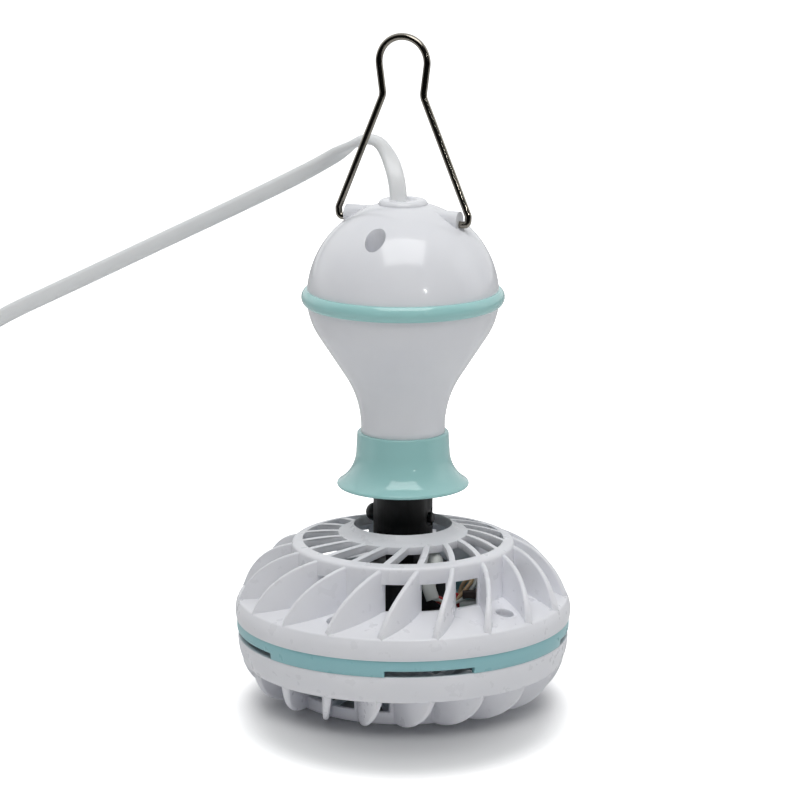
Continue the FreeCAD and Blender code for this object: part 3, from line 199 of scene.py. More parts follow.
# soft PVC sheath: white, a little rubbery, with light that sinks in
cordPvc = mouldedPlastic("white_pvc_cord", "#E9EBEC", "#F1F2F2", 0.36, 1.52, 0.7, 0.05, 0.15)
# slate-blue ABS blades, thin enough to glow against the light
impellerAbs = mouldedPlastic("slate_abs_moulded", "#8AA3AD", "#93ABB4", 0.3, 1.53, 0.5, 0.02, 0.0, 0.15)
# grey-white PVC tube round the wires: dull
sleevePvc = mouldedPlastic("grey_pvc_sleeve", "#C6CAC6", "#D3D5D0", 0.5, 1.52, 0.5, 0.03)
# tan PVC insulation
tanWire = mouldedPlastic("tan_pvc_wire", "#B89A74", "#C6AB88", 0.4, 1.52, 0.4, 0.02)
# phenolic terminal block: dark brown and dull
brownBlock = mouldedPlastic("brown_phenolic_block", "#2C1F1B", "#3B2A24", 0.45, 1.55, 0.5, 0.03)
# red PVC insulation, the one warm spot behind the windows
redWire = mouldedPlastic("red_pvc_wire", "#9C1B1E", "#B02A28", 0.35, 1.52, 0.4, 0.02)

# Metals: base colour, tint, roughness, and the width of the streaks in millimetres

# nickel plate on spring wire: a dark mirror with one bright line along the rod
nickelWire = drawnMetal("nickel_plated_steel_wire", "#8E8980", "#9A958B", 0.12, 0.8)
# zinc plate: cool grey, dull at the edges
zincSteel = drawnMetal("zinc_plated_steel", "#9FA3A8", "#B3B6B9", 0.3, 0.6)
# stacked iron sheets: dark and matte
ironCore = drawnMetal("laminated_iron_core", "#5C5A58", "#6B6866", 0.45, 0.5)
# sintered bronze: brown and porous
bronzeBush = drawnMetal("sintered_bronze", "#8A6A40", "#9C7B4E", 0.45, 0.4)
# plated brass pins: pale gold with a fairly sharp shine
brassPin = drawnMetal("nickel_plated_brass", "#C9B27C", "#D2BE8D", 0.22, 0.6)
print("materials ready")


# Camera, at the photograph's viewing angle

view = {"place": (523.6, -1189.9, 403.5), "azimuth": 23.8, "down": 12.64, "lens": 162.7}
cameraData = bpy.data.cameras.new("camera")
cameraData.lens = view["lens"]
cameraData.sensor_width = 36.0
cameraData.clip_end = 30.0
camera = bpy.data.objects.new("camera", cameraData)
camera.location = [value * mm for value in view["place"]]
camera.rotation_euler = (math.radians(90 - view["down"]), 0.0, math.radians(view["azimuth"]))
scene.collection.objects.link(camera)
scene.camera = camera
azimuth = math.radians(view["azimuth"])


# Mains lead: a flat two-core cord, the whole of it on one spline

cord = {
    "radius": 3.2, "width": 6.3, "thick": 3.5, "startX": -1.8, "startZ": 183.0,
    "coilInner": 25.6, "coilPitch": 6.85, "climbRoom": 1.2, "halfTurns": 6, "exitRun": 14.0,
    "pointsPerHalf": 8, "ringStep": 1.6, "sides": 24,
}
cordRoute = [    # the same points as the part's own source, in millimetres
    (cord["startX"], 0.0, cord["startZ"]), (cord["startX"], 0.0, 189.5), (-4.2, 2.2, 196.5),
    (-9.5, 7.5, 202.5), (-16.5, 13.5, 206.0), (-25.0, 17.5, 205.0), (-34.5, 19.5, 199.0),
    (-49.0, 19.0, 190.5), (-76.0, 13.5, 176.5), (-106.5, 4.5, 161.0), (-135.5, -6.0, 146.0),
    (-162.0, -18.0, 132.5), (-177.5, -25.0, 120.0), (-188.0, -30.0, 101.5), (-193.5, -32.5, 79.0),
    (-195.0, -33.0, 55.0), (-194.6, -31.0, 33.0), (-194.2, -22.0, 13.5), (-194.0, -8.5, cord["radius"]),
    (-194.0, 4.6, cord["radius"]),
]


def coilPoints():    # turns of two layers, with a climb in the half turn where the spiral reverses
    end, before = Vector(cordRoute[-1]), Vector(cordRoute[-2])
    heading = (end - before).normalized()
    side = Vector((heading.y, -heading.x, 0))
    outer = cord["coilInner"] + cord["climbRoom"] + cord["coilPitch"] * cord["halfTurns"] / 2
    centre = end + heading * 2 * cord["radius"] - side * outer
    steps = cord["pointsPerHalf"]
    points = []

    def arc(xStart, xEnd, zStart, zEnd, hand):
        middle, radius = (xStart + xEnd) / 2, abs(xStart - xEnd) / 2
        swell = 1 / (0.75 + 0.25 * math.cos(math.pi / steps))    # a quadratic spline runs inside its points
        for number in range(steps):
            angle = math.pi * (number + 0.5) / steps
            x = middle + (xStart - middle) * math.cos(angle) * swell
            y = hand * radius * math.sin(angle) * swell
            points.append((x, y, zStart + (zEnd - zStart) * angle / math.pi))

    x, hand = outer, 1
    for number in range(cord["halfTurns"]):
        far = max(x - cord["coilPitch"] / 2, cord["coilInner"] + cord["climbRoom"])
        if number == cord["halfTurns"] - 1:
            far = cord["coilInner"]
        arc(hand * x, -hand * far, 0.0, 0.0, hand)
        x, hand = far, -hand
    arc(hand * x, -hand * x, 0.0, cord["coilPitch"], hand)
    hand = -hand
    for number in range(cord["halfTurns"]):
        far = x + cord["coilPitch"] / 2 + (cord["climbRoom"] if number == 0 else 0.0)
        arc(hand * x, -hand * far, cord["coilPitch"], cord["coilPitch"], hand)
        x, hand = far, -hand
    points.append((hand * x, hand * cord["exitRun"] * 0.4, cord["coilPitch"]))
    points.append((hand * x, hand * cord["exitRun"], cord["coilPitch"]))
    return [centre + side * p[0] + heading * p[1] + Vector((0, 0, p[2])) for p in points]


def splineLine(points):    # the points that a NURBS spline through these control points draws
    curve = bpy.data.curves.new("route", "CURVE")
    curve.dimensions = "3D"
    curve.resolution_u = 8
    spline = curve.splines.new("NURBS")
    spline.points.add(len(points) - 1)
    for target, point in zip(spline.points, points):
        target.co = (point[0] * mm, point[1] * mm, point[2] * mm, 1.0)
    spline.order_u = 3
    spline.use_endpoint_u = True
    route = bpy.data.objects.new("route", curve)
    mesh = bpy.data.meshes.new_from_object(route)
    line = [vertex.co.copy() for vertex in mesh.vertices]
    bpy.data.meshes.remove(mesh)
    bpy.data.objects.remove(route)
    bpy.data.curves.remove(curve)
    return line


def evenly(line, step):
    out = [line[0]]
    for point in line[1:]:
        if (point - out[-1]).length >= step:
            out.append(point)
    if (line[-1] - out[-1]).length < step * 0.5:
        out.pop()
    out.append(line[-1])
    return out


def flatSection():    # two cores side by side in one sheath, with a shallow valley between them
    half, thick = cord["width"] / 2, cord["thick"] / 2
    points = []
    for number in range(cord["sides"]):
        angle = 2 * math.pi * number / cord["sides"]
        across = (half - thick) * (1 if math.cos(angle) > 0 else -1) if abs(math.cos(angle)) > 0.01 else 0.0
        points.append((across + thick * math.cos(angle), thick * math.sin(angle)))
    return points


def sweptMesh(line, section, widths):    # a ring at each point, its width along the direction given there
    shape = bmesh.new()
    uvLayer = shape.loops.layers.uv.new("alongCord")
    rings, along, travelled = [], [], 0.0
    for number, point in enumerate(line):
        before, after = line[max(number - 1, 0)], line[min(number + 1, len(line) - 1)]
        tangent = (after - before).normalized()
        width = widths[number] - tangent * widths[number].dot(tangent)
        width.normalize()
        height = tangent.cross(width)
        rings.append([shape.verts.new(point + width * (a * mm) + height * (b * mm)) for a, b in section])
        travelled += (point - line[max(number - 1, 0)]).length
        along.append(travelled)
    count = len(section)
    for number in range(len(rings) - 1):
        for k in range(count):
            face = shape.faces.new([rings[number][k], rings[number][(k + 1) % count],
                                    rings[number + 1][(k + 1) % count], rings[number + 1][k]])
            for loop, (u, v) in zip(face.loops, ((number, k), (number, k + 1), (number + 1, k + 1),
                                                 (number + 1, k))):
                loop[uvLayer].uv = (along[u] / (10 * mm), v / count)
    shape.faces.new(rings[0][::-1])
    shape.faces.new(rings[-1])
    bmesh.ops.recalc_face_normals(shape, faces=shape.faces)
    return shape


def cordWidths(line):    # which way the flat cord's width points, by the distance along it in millimetres
    right = Vector((math.cos(azimuth), math.sin(azimuth), 0))
    away = Vector((-math.sin(azimuth), math.cos(azimuth), 0))
    up = Vector((0, 0, 1))
    stations = [(0.0, right), (14, right), (30, right * 0.3 + away), (42, away), (58, away * 0.6 - up),
                (80, -up + away * 0.15), (205, -up), (235, away - up * 0.3), (345, away),
                (372, away * 0.6 - up), (395, -up), (5000, -up)]
    widths, travelled = [], 0.0
    for number, point in enumerate(line):
        travelled += (point - line[max(number - 1, 0)]).length / mm
        for (near, a), (far, b) in zip(stations, stations[1:]):
            if near <= travelled <= far:
                share = (travelled - near) / (far - near)
                share = share * share * (3 - 2 * share)
                widths.append(a.normalized().lerp(b.normalized(), share))
                break
    return widths


fullLine = splineLine([Vector(point) for point in cordRoute] + coilPoints())
cordLine = evenly(fullLine, cord["ringStep"] * mm)
cordShape = sweptMesh(cordLine, flatSection(), cordWidths(cordLine))
mainsCord = newObject("mains_cord", plainMesh("mains_cord", cordShape), cordPvc)
smoothBy(mainsCord, 50)


# Shapes by revolving and by arcs

def circleThrough(start, middle, end):    # centre and radius
    (ax, ay), (bx, by), (cx, cy) = start, middle, end
    d = 2 * (ax * (by - cy) + bx * (cy - ay) + cx * (ay - by))
    a2, b2, c2 = ax * ax + ay * ay, bx * bx + by * by, cx * cx + cy * cy
    x = (a2 * (by - cy) + b2 * (cy - ay) + c2 * (ay - by)) / d
    y = (a2 * (cx - bx) + b2 * (ax - cx) + c2 * (bx - ax)) / d
    return x, y, math.dist((x, y), start)


def arcPoints(start, middle, end, steps):    # an arc from start to end by way of middle
    x, y, radius = circleThrough(start, middle, end)
    first = math.atan2(start[1] - y, start[0] - x)
    between = (math.atan2(middle[1] - y, middle[0] - x) - first) % (2 * math.pi)
    last = (math.atan2(end[1] - y, end[0] - x) - first) % (2 * math.pi)
    if between > last:
        last -= 2 * math.pi
    angles = [first + last * k / steps for k in range(steps + 1)]
    return [(x + radius * math.cos(angle), y + radius * math.sin(angle)) for angle in angles]


def softened(corners, steps=4):    # closed outline: (r, z) or (r, z, fillet), each fillet an arc
    out = []
    total = len(corners)
    for number, corner in enumerate(corners):
        fillet = corner[2] if len(corner) > 2 else 0.0
        here = Vector(corner[:2])
        if not fillet:
            out.append(tuple(here))
            continue
        before = (Vector(corners[number - 1][:2]) - here).normalized()
        after = (Vector(corners[(number + 1) % total][:2]) - here).normalized()
        half = before.angle(after) / 2
        reach = fillet / math.tan(half)
        inwards = (before + after).normalized()
        centre = here + inwards * (fillet / math.sin(half))
        start, end = here + before * reach, here + after * reach
        middle = centre - inwards * fillet
        out.append(tuple(here + before * (reach + min(0.15, reach))))
        out += arcPoints(tuple(start), tuple(middle), tuple(end), steps)
        out.append(tuple(here + after * (reach + min(0.15, reach))))
    return out


def revolved(outline, segments):    # closed ring or capped solid from a closed outline of (r, z)
    shape = bmesh.new()
    rings = []
    for k in range(segments):
        angle = 2 * math.pi * k / segments
        rings.append([shape.verts.new((r * mm * math.cos(angle), r * mm * math.sin(angle), z * mm))
                      for r, z in outline])
    count = len(outline)
    for k in range(segments):
        for n in range(count):
            a, b = rings[k][n], rings[k][(n + 1) % count]
            c, d = rings[(k + 1) % segments][(n + 1) % count], rings[(k + 1) % segments][n]
            if outline[n][0] > 0.001 or outline[(n + 1) % count][0] > 0.001:
                shape.faces.new([a, b, c, d])
    bmesh.ops.remove_doubles(shape, verts=shape.verts, dist=0.0005 * mm)
    bmesh.ops.dissolve_degenerate(shape, edges=shape.edges, dist=0.0001 * mm)
    bmesh.ops.recalc_face_normals(shape, faces=shape.faces)
    return shape


def turnedPiece(name, outline, segments, material, sharp=35):
    piece = newObject(name, plainMesh(name, revolved(outline, segments)), material)
    smoothBy(piece, sharp)
    return piece


# Bulb housing

bulb = {
    "radius": 35.3, "equator": 150.9, "wall": 2.0, "shoulder": 26.0, "cone": 33.0, "throat": 36.0,
    "neck": 15.5, "neckLow": 91.2, "neckEase": 0.4, "bore": 13.5, "boreTop": 99.0, "seam": 150.25,
    "segments": 160,
}


def bulbSide(inset, steps):    # shoulder arc, cone and throat arc, from the equator down
    lean = math.radians(bulb["cone"])
    shoulder, throat = bulb["shoulder"] - inset, bulb["throat"] + inset
    topX, lowX = bulb["radius"] - bulb["shoulder"], bulb["neck"] + bulb["throat"]
    r1 = topX + bulb["shoulder"] * math.cos(lean)
    z1 = bulb["equator"] - bulb["shoulder"] * math.sin(lean)
    r2 = lowX - bulb["throat"] * math.cos(lean)
    z2 = z1 - (r1 - r2) / math.tan(lean)
    z3 = z2 - bulb["throat"] * math.sin(lean)
    points = []
    for k in range(steps + 1):
        angle = lean * k / steps
        points.append((topX + shoulder * math.cos(angle), bulb["equator"] - shoulder * math.sin(angle)))
    for k in range(steps + 1):
        angle = lean * (1 - k / steps)
        points.append((lowX - throat * math.cos(angle), z3 + throat * math.sin(angle)))
    return points


bulbOuter = bulbSide(0.0, 14)
bulbInner = bulbSide(bulb["wall"], 8)
neckFoot = softened([(bulb["neck"], bulb["neckLow"], bulb["neckEase"]), (bulb["bore"], bulb["neckLow"]),
                     (bulb["bore"], bulb["boreTop"])], 3)[:-1]
bulbOutline = ([(bulb["radius"] - bulb["wall"], bulb["seam"]), (bulb["radius"], bulb["seam"])]
               + bulbOuter[1:] + neckFoot + bulbInner[::-1][:-1])
bulbShell = turnedPiece("bulb_housing", bulbOutline, bulb["segments"], whiteAbs)
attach(bulbShell, "housing")
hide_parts("bulb_shell")

ring = {"half": 2.85, "proud": 2.0, "face": 35.85, "back": 34.75}
ringLow, ringHigh = bulb["equator"] - ring["half"], bulb["equator"] + ring["half"]
ringOutline = (arcPoints((ring["face"], ringLow), (bulb["radius"] + ring["proud"], bulb["equator"]),
                         (ring["face"], ringHigh), 14)
               + [(ring["back"], ringHigh), (ring["back"], ringLow)])
trimRing = turnedPiece("trim_band", ringOutline, bulb["segments"], tealAbs)
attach(trimRing, "housing")
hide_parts("trim_ring")

collar = {
    "topR": 16.9, "bodyR": 17.3, "topZ": 100.4, "flareZ": 93.5, "flare": 14.3, "angle": 58.3, "lipR": 24.4,
    "lowZ": 80.0, "wall": 2.0,
}


def flarePoint(radius, degrees):
    angle = math.radians(degrees)
    centre = collar["bodyR"] + collar["flare"]
    return (centre - radius * math.cos(angle), collar["flareZ"] - radius * math.sin(angle))


flareEnd = flarePoint(collar["flare"], collar["angle"])
innerFlare = collar["flare"] + collar["wall"]
innerLow = math.degrees(math.asin((collar["flareZ"] - collar["lowZ"]) / innerFlare))
innerHigh = math.degrees(math.acos((collar["bodyR"] + collar["flare"] - bulb["neck"]) / innerFlare))
collarOutline = (softened([(bulb["neck"], collar["topZ"]), (collar["topR"], collar["topZ"], 0.7),
                           (collar["bodyR"], collar["flareZ"])], 5)[:-1]
                 + [flarePoint(collar["flare"], collar["angle"] * k / 18) for k in range(19)]
                 + arcPoints(flareEnd, (collar["lipR"], (flareEnd[1] + collar["lowZ"]) / 2),
                             (collar["lipR"] - 0.5, collar["lowZ"]), 8)[1:]
                 + [flarePoint(innerFlare, innerLow + (innerHigh - innerLow) * k / 10) for k in range(11)]
                 + [(bulb["neck"], bulb["neckLow"])])
collarPiece = turnedPiece("collar_flare", collarOutline, 128, tealAbs)
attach(collarPiece, "housing")
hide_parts("flared_collar")
print("bulb, band and collar ready")

dome = {
    "seam": 151.6, "ridgeR": 3.6, "ridgeZ": 180.2, "ridgeHalf": 22.4, "wellR": 3.75, "wellY": 24.6,
    "wellFloor": 157.0, "bailZ": 179.0, "bailBore": 1.35, "reliefR": 2.4, "footX": 25.6, "flatR": 9.0,
    "flatZ": 183.3, "innerShare": 0.943, "roof": 2.4, "bailInner": 13.5, "cordHole": 3.5,
    "cordHoleLow": 170.0, "above": 190.0, "edge": 0.3, "steps": 26, "segments": 160,
}
domeLow = math.asin((dome["seam"] - bulb["equator"]) / bulb["radius"])
domeHigh = math.acos(dome["flatR"] / bulb["radius"])
domeOuter = []
for k in range(dome["steps"] + 1):
    angle = domeLow + (domeHigh - domeLow) * k / dome["steps"]
    domeOuter.append((bulb["radius"] * math.cos(angle), bulb["equator"] + bulb["radius"] * math.sin(angle)))
domeInner = [(r * dome["innerShare"], bulb["equator"] + (z - bulb["equator"]) * dome["innerShare"])
             for r, z in domeOuter[::-1]]
roofZ = dome["flatZ"] - dome["roof"]
domeOutline = (domeOuter + [(dome["flatR"], dome["flatZ"]), (0.0, dome["flatZ"]), (0.0, roofZ),
                            (domeInner[0][0], roofZ)] + domeInner[1:])


def cylinderMesh(radius, start, end, segments=48):
    shape = bmesh.new()
    first, last = Vector(start) * mm, Vector(end) * mm
    along = (last - first)
    turn = along.to_track_quat("Z", "Y").to_matrix().to_4x4()
    bmesh.ops.create_cone(shape, cap_ends=True, segments=segments, radius1=radius * mm, radius2=radius * mm,
                          depth=along.length, matrix=Matrix.Translation((first + last) / 2) @ turn)
    return shape


def combined(piece, shapes, operation):    # boolean with several closed shapes at once
    tools = []
    for number, shape in enumerate(shapes):
        tool = newObject("tool_%d" % number, plainMesh("tool_%d" % number, shape))
        tools.append(tool)
        modify(piece, "BOOLEAN", operation=operation, solver="EXACT", object=tool)
    baked(piece)
    for tool in tools:
        removeObject(tool)
    return piece


domeShape = revolved(domeOutline, dome["segments"])
domePiece = newObject("dome_shell", plainMesh("dome_shell", domeShape), whiteAbs)
ridgeShape = cylinderMesh(dome["ridgeR"], (-dome["ridgeHalf"], 0, dome["ridgeZ"]),
                          (dome["ridgeHalf"], 0, dome["ridgeZ"]), 64)
combined(domePiece, [ridgeShape], "UNION")
wells = []    # screw wells, the bail's reliefs and bores, the gland's seat and the cord's hole
for side in (-1, 1):
    wells.append(cylinderMesh(dome["wellR"], (0, side * dome["wellY"], dome["wellFloor"]),
                              (0, side * dome["wellY"], dome["above"])))
    wells.append(cylinderMesh(dome["reliefR"], (side * dome["ridgeHalf"], 0, dome["bailZ"]),
                              (side * dome["footX"], 0, dome["bailZ"]), 32))
    wells.append(cylinderMesh(dome["bailBore"], (side * dome["bailInner"], 0, dome["bailZ"]),
                              (side * (dome["ridgeHalf"] + 1), 0, dome["bailZ"]), 32))
wells.append(cylinderMesh(dome["flatR"], (0, 0, dome["flatZ"]), (0, 0, dome["above"] + 10), 64))
wells.append(cylinderMesh(dome["cordHole"], (cord["startX"], 0, dome["cordHoleLow"]),
                          (cord["startX"], 0, dome["above"]), 48))
combined(domePiece, wells, "DIFFERENCE")
modify(domePiece, "BEVEL", width=dome["edge"] * mm, segments=3, limit_method="ANGLE",
       angle_limit=math.radians(32), use_clamp_overlap=True)
baked(domePiece)
paint(domePiece, whiteAbs)
smoothBy(domePiece, 40)
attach(domePiece, "housing")
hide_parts("upper_dome")

tubes = {"outer": 5.15, "inner": 3.8, "low": 154.0, "floor": 157.0, "hole": 1.6, "sink": 0.8}
tubeOutline = [(tubes["hole"], tubes["low"]), (tubes["outer"], tubes["low"]), (tubes["outer"], dome["above"]),
               (tubes["inner"], dome["above"]), (tubes["inner"], tubes["floor"]),
               (tubes["hole"], tubes["floor"])]
tubeShape = bmesh.new()
for side in (-1, 1):
    one = revolved(tubeOutline, 40)
    bmesh.ops.translate(one, verts=one.verts, vec=(0, side * dome["wellY"] * mm, 0))
    for corner in one.verts:    # the upper rim follows the inside of the dome
        if corner.co.z > dome["ridgeZ"] * mm:
            reach = (bulb["radius"] - tubes["sink"]) * mm
            corner.co.z = bulb["equator"] * mm + math.sqrt(reach ** 2 - corner.co.x ** 2 - corner.co.y ** 2)
    mesh = plainMesh("one", one)
    tubeShape.from_mesh(mesh)
    bpy.data.meshes.remove(mesh)
wellTubes = newObject("dome_screw_tubes", plainMesh("dome_screw_tubes", tubeShape), whiteAbs)
smoothBy(wellTubes, 35)
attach(wellTubes, "housing")
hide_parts("upper_dome")

gland = {"outer": 9.0, "rim": 5.3, "slope": 1.2, "height": 3.6, "dish": 1.1}
glandTop = dome["flatZ"] + gland["height"]
dishZ = glandTop - gland["dish"]
glandOutline = softened([(0.0, dome["flatZ"]), (gland["outer"], dome["flatZ"], 0.5),
                         (gland["outer"], glandTop, 1.8), (gland["rim"], glandTop, 1.0),
                         (gland["rim"] - gland["slope"], dishZ, 1.0), (0.0, dishZ)], 8)
glandPiece = turnedPiece("cord_gland", glandOutline, 72, whiteAbs)
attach(glandPiece, "housing")
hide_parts("gland_ring")
print("dome and gland ready")


# Swirl of the cage's fins: one circle in plan, through three polar points

swirl = {"outR": 60.0, "drumR": 41.6, "slotR": 24.0, "atDrum": 14.0, "atSlot": 28.7, "bays": 19,
         "frontBay": -5.0, "screwR": 50.5, "screwBays": (0, 4, 9, 14), "lead": 2.0, "trail": 3.6}
bayAngle = 360 / swirl["bays"]


def planPoint(radius, degrees):
    return (radius * math.cos(math.radians(degrees)), radius * math.sin(math.radians(degrees)))


circleX, circleY, circleR = circleThrough(planPoint(swirl["outR"], 0.0),
                                          planPoint(swirl["drumR"], swirl["atDrum"]),
                                          planPoint(swirl["slotR"], swirl["atSlot"]))


def swirlPoint(radius):
    reach = math.hypot(circleX, circleY)
    spread = math.acos((reach ** 2 + circleR ** 2 - radius ** 2) / (2 * reach * circleR))
    angle = math.atan2(-circleY, -circleX) - spread
    return (circleX + circleR * math.cos(angle), circleY + circleR * math.sin(angle))


def swirlTurn(radius):    # degrees gained from the outermost point
    x, y = swirlPoint(radius)
    return math.degrees(math.atan2(y, x))


firstTurn = swirl["frontBay"] + bayAngle / 2 - swirlTurn(swirl["screwR"]) - 90
screwAngles = [swirl["frontBay"] + bayAngle * k - 90 for k in swirl["screwBays"]]


fin = {"foot": 2.9, "edge": 1.9, "fullTaper": 12.0, "least": 0.3, "crownShare": 0.45, "crownSteps": 8,
       "stations": 30}


def finMesh(hand, rootR, endR, lowAt, highAt, roundUp):
    # a curved upright plate, thicker at its foot; roundUp says which edge is free and rounded
    shape = bmesh.new()
    rings = []
    for k in range(fin["stations"] + 1):
        radius = rootR + (endR - rootR) * k / fin["stations"]
        x, y = swirlPoint(radius)
        ax, ay = swirlPoint(radius + 0.05)
        along = Vector((ax - x, (ay - y) * hand, 0)).normalized()
        across = Vector((-along.y, along.x, 0))
        centre = Vector((x, y * hand, 0))
        low, high = lowAt(radius), highAt(radius)
        tall = max(high - low, fin["least"])
        near = fin["foot"] - (fin["foot"] - fin["edge"]) * min(tall / fin["fullTaper"], 1.0)
        crown = min(near / 2, tall * fin["crownShare"])
        turns = [math.pi * n / fin["crownSteps"] for n in range(fin["crownSteps"] + 1)]
        profile = ([(fin["foot"] / 2, 0.0)]
                   + [(near / 2 * math.cos(turn), tall - crown + crown * math.sin(turn)) for turn in turns]
                   + [(-fin["foot"] / 2, 0.0)])
        rings.append([shape.verts.new((centre + across * a
                                       + Vector((0, 0, low + h if roundUp else high - h))) * mm)
                      for a, h in profile])
    count = len(rings[0])
    for k in range(fin["stations"]):
        for n in range(count):
            shape.faces.new([rings[k][n], rings[k][(n + 1) % count], rings[k + 1][(n + 1) % count],
                             rings[k + 1][n]])
    shape.faces.new(rings[0][::-1])
    shape.faces.new(rings[-1])
    bmesh.ops.recalc_face_normals(shape, faces=shape.faces)
    return shape


def ringTree(name):    # copies of a mesh, evenly turned about Z
    tree = bpy.data.node_groups.new(name, "GeometryNodeTree")
    for label, kind in (("Geometry", "NodeSocketGeometry"), ("Count", "NodeSocketInt"),
                        ("First Turn", "NodeSocketFloat"), ("Step", "NodeSocketFloat"),
                        ("Material", "NodeSocketMaterial")):
        tree.interface.new_socket(label, in_out="INPUT", socket_type=kind)
    tree.interface.new_socket("Geometry", in_out="OUTPUT", socket_type="NodeSocketGeometry")
    source = addNode(tree, "NodeGroupInput")
    points = addNode(tree, "GeometryNodePoints", {"Count": source.outputs["Count"]})
    index = addNode(tree, "GeometryNodeInputIndex")
    turn = addNode(tree, "ShaderNodeMath", {0: index.outputs[0], 1: source.outputs["Step"],
                   2: source.outputs["First Turn"]}, operation="MULTIPLY_ADD")
    angle = addNode(tree, "ShaderNodeMath", {0: turn.outputs[0]}, operation="RADIANS")
    rotation = addNode(tree, "ShaderNodeCombineXYZ", {"Z": angle.outputs[0]})
    copies = addNode(tree, "GeometryNodeInstanceOnPoints", {"Points": points.outputs[0],
                     "Instance": source.outputs["Geometry"], "Rotation": rotation.outputs[0]})
    real = addNode(tree, "GeometryNodeRealizeInstances", {"Geometry": copies.outputs[0]})
    painted = addNode(tree, "GeometryNodeSetMaterial", {"Geometry": real.outputs[0],
                      "Material": source.outputs["Material"]})
    addNode(tree, "NodeGroupOutput", {"Geometry": painted.outputs[0]})
    return tree


copyRing = ringTree("copies_round_the_axis")


def roundTheAxis(piece, count, firstDegrees, stepDegrees, material):
    modifier = piece.modifiers.new("Copies", "NODES")
    modifier.node_group = copyRing
    values = {"Count": count, "First Turn": firstDegrees, "Step": stepDegrees, "Material": material}
    for item in copyRing.interface.items_tree:
        if item.in_out == "INPUT" and item.name in values:
            modifier[item.identifier] = values[item.name]
    return baked(piece)


def ringShell(profile, cuts, hand, closedBays, gapColumns=8):
    # closed shell of revolution whose columns follow the swirl, with openings between the fins
    # profile rows are (r, z, wall after a fin, wall before the next), the walls in degrees
    # a cut is (outer from, outer to, inner from, inner to, whether the screws' bays stay closed)
    shape = bmesh.new()
    columns = gapColumns + 2
    grid = []
    for r, z, after, before in profile:
        lead = hand * swirlTurn(min(max(r, 12.0), swirl["drumR"])) + firstTurn
        gap = bayAngle - after - before
        offsets = [0.0] + [after + gap * k / gapColumns for k in range(gapColumns + 1)]
        row = []
        for bay in range(swirl["bays"]):
            for offset in offsets:
                angle = math.radians(lead + bay * bayAngle + offset)
                row.append(shape.verts.new((r * mm * math.cos(angle), r * mm * math.sin(angle), z * mm)))
        grid.append(row)
    total = columns * swirl["bays"]
    rows = len(profile)
    skipped = set()
    for cut in cuts:
        a, b, c, d, closable = cut
        for bay in range(swirl["bays"]):
            if closable and bay in closedBays:
                continue
            for column in range(1, gapColumns + 1):
                j = bay * columns + column
                for i in list(range(a, b)) + list(range(c, d)):
                    skipped.add((i, j))
                shape.faces.new([grid[a][j], grid[a][j + 1], grid[d][j + 1], grid[d][j]])
                shape.faces.new([grid[b][j], grid[b][j + 1], grid[c][j + 1], grid[c][j]])
            for j in (bay * columns + 1, bay * columns + 1 + gapColumns):
                side = [grid[i][j] for i in range(a, b + 1)] + [grid[i][j] for i in range(c, d + 1)]
                shape.faces.new(side)
    for i in range(rows):
        for j in range(total):
            if (i, j) not in skipped:
                shape.faces.new([grid[i][j], grid[i][(j + 1) % total], grid[(i + 1) % rows][(j + 1) % total],
                                 grid[(i + 1) % rows][j]])
    bmesh.ops.remove_doubles(shape, verts=shape.verts, dist=0.002 * mm)
    bmesh.ops.dissolve_degenerate(shape, edges=shape.edges, dist=0.0005 * mm)
    bmesh.ops.recalc_face_normals(shape, faces=shape.faces)
    return shape


def spokeHalf(radius, width):    # half the angle that a spoke of this width takes at a radius
    slope = (swirlTurn(radius + 0.5) - swirlTurn(radius - 0.5)) * math.pi / 180
    slant = math.atan(radius * slope)
    return math.degrees(width / 2 / (radius * math.cos(slant)))


def circleHeight(points):    # z of the arc through three (r, z) points, by radius
    x, y, radius = circleThrough(*points)
    sign = 1 if points[1][1] > y else -1
    return lambda r: y + sign * math.sqrt(max(radius ** 2 - (r - x) ** 2, 0.0))


def rowsOf(points):
    return [(r, z, swirl["lead"], swirl["trail"]) for r, z in points]


def spokeRows(points, width):
    return [(r, z, spokeHalf(r, width), spokeHalf(r, width)) for r, z in points]


# Upper grille

upper = {
    "low": 30.1, "rim": 38.1, "shelf": 42.5, "drum": 59.0, "crown": 62.1, "lip": 65.3, "cageR": 62.5,
    "rimR": 61.0, "drumR": 41.6, "wall": 1.8, "windowTop": 52.8, "spoke": 2.2, "spokeDepth": 2.8,
    "slotOut": 37.3, "slotMid": 31.0, "slotIn": 24.0, "mouth": 18.0, "flangeR": 60.5, "flangeZ": 33.6,
    "edge": 0.3,
}
boss = {"outer": 4.75, "bore": 3.35, "low": 30.1, "high": 39.4, "floor": 36.0, "hole": 1.6, "cutLow": 34.0,
        "cutHigh": 60.0}
innerR = upper["drumR"] - upper["wall"]
# from the joint with the band up over the rounded rim, and in across the shelf
profile = rowsOf(arcPoints((upper["cageR"] - 0.5, upper["low"]), (upper["cageR"], upper["low"] + 3.2),
                           (upper["rimR"] + 0.6, upper["rim"] - 1.1), 8))
profile += rowsOf(arcPoints((upper["rimR"] + 0.5, upper["rim"] - 0.8),
                            (upper["rimR"] + 0.2, upper["rim"] - 0.3),
                            (upper["rimR"] - 0.6, upper["rim"]), 4))
profile += rowsOf([(upper["rimR"] - 1.0, upper["rim"] + 0.1), (upper["drumR"] + 0.4, upper["shelf"] - 0.1)])
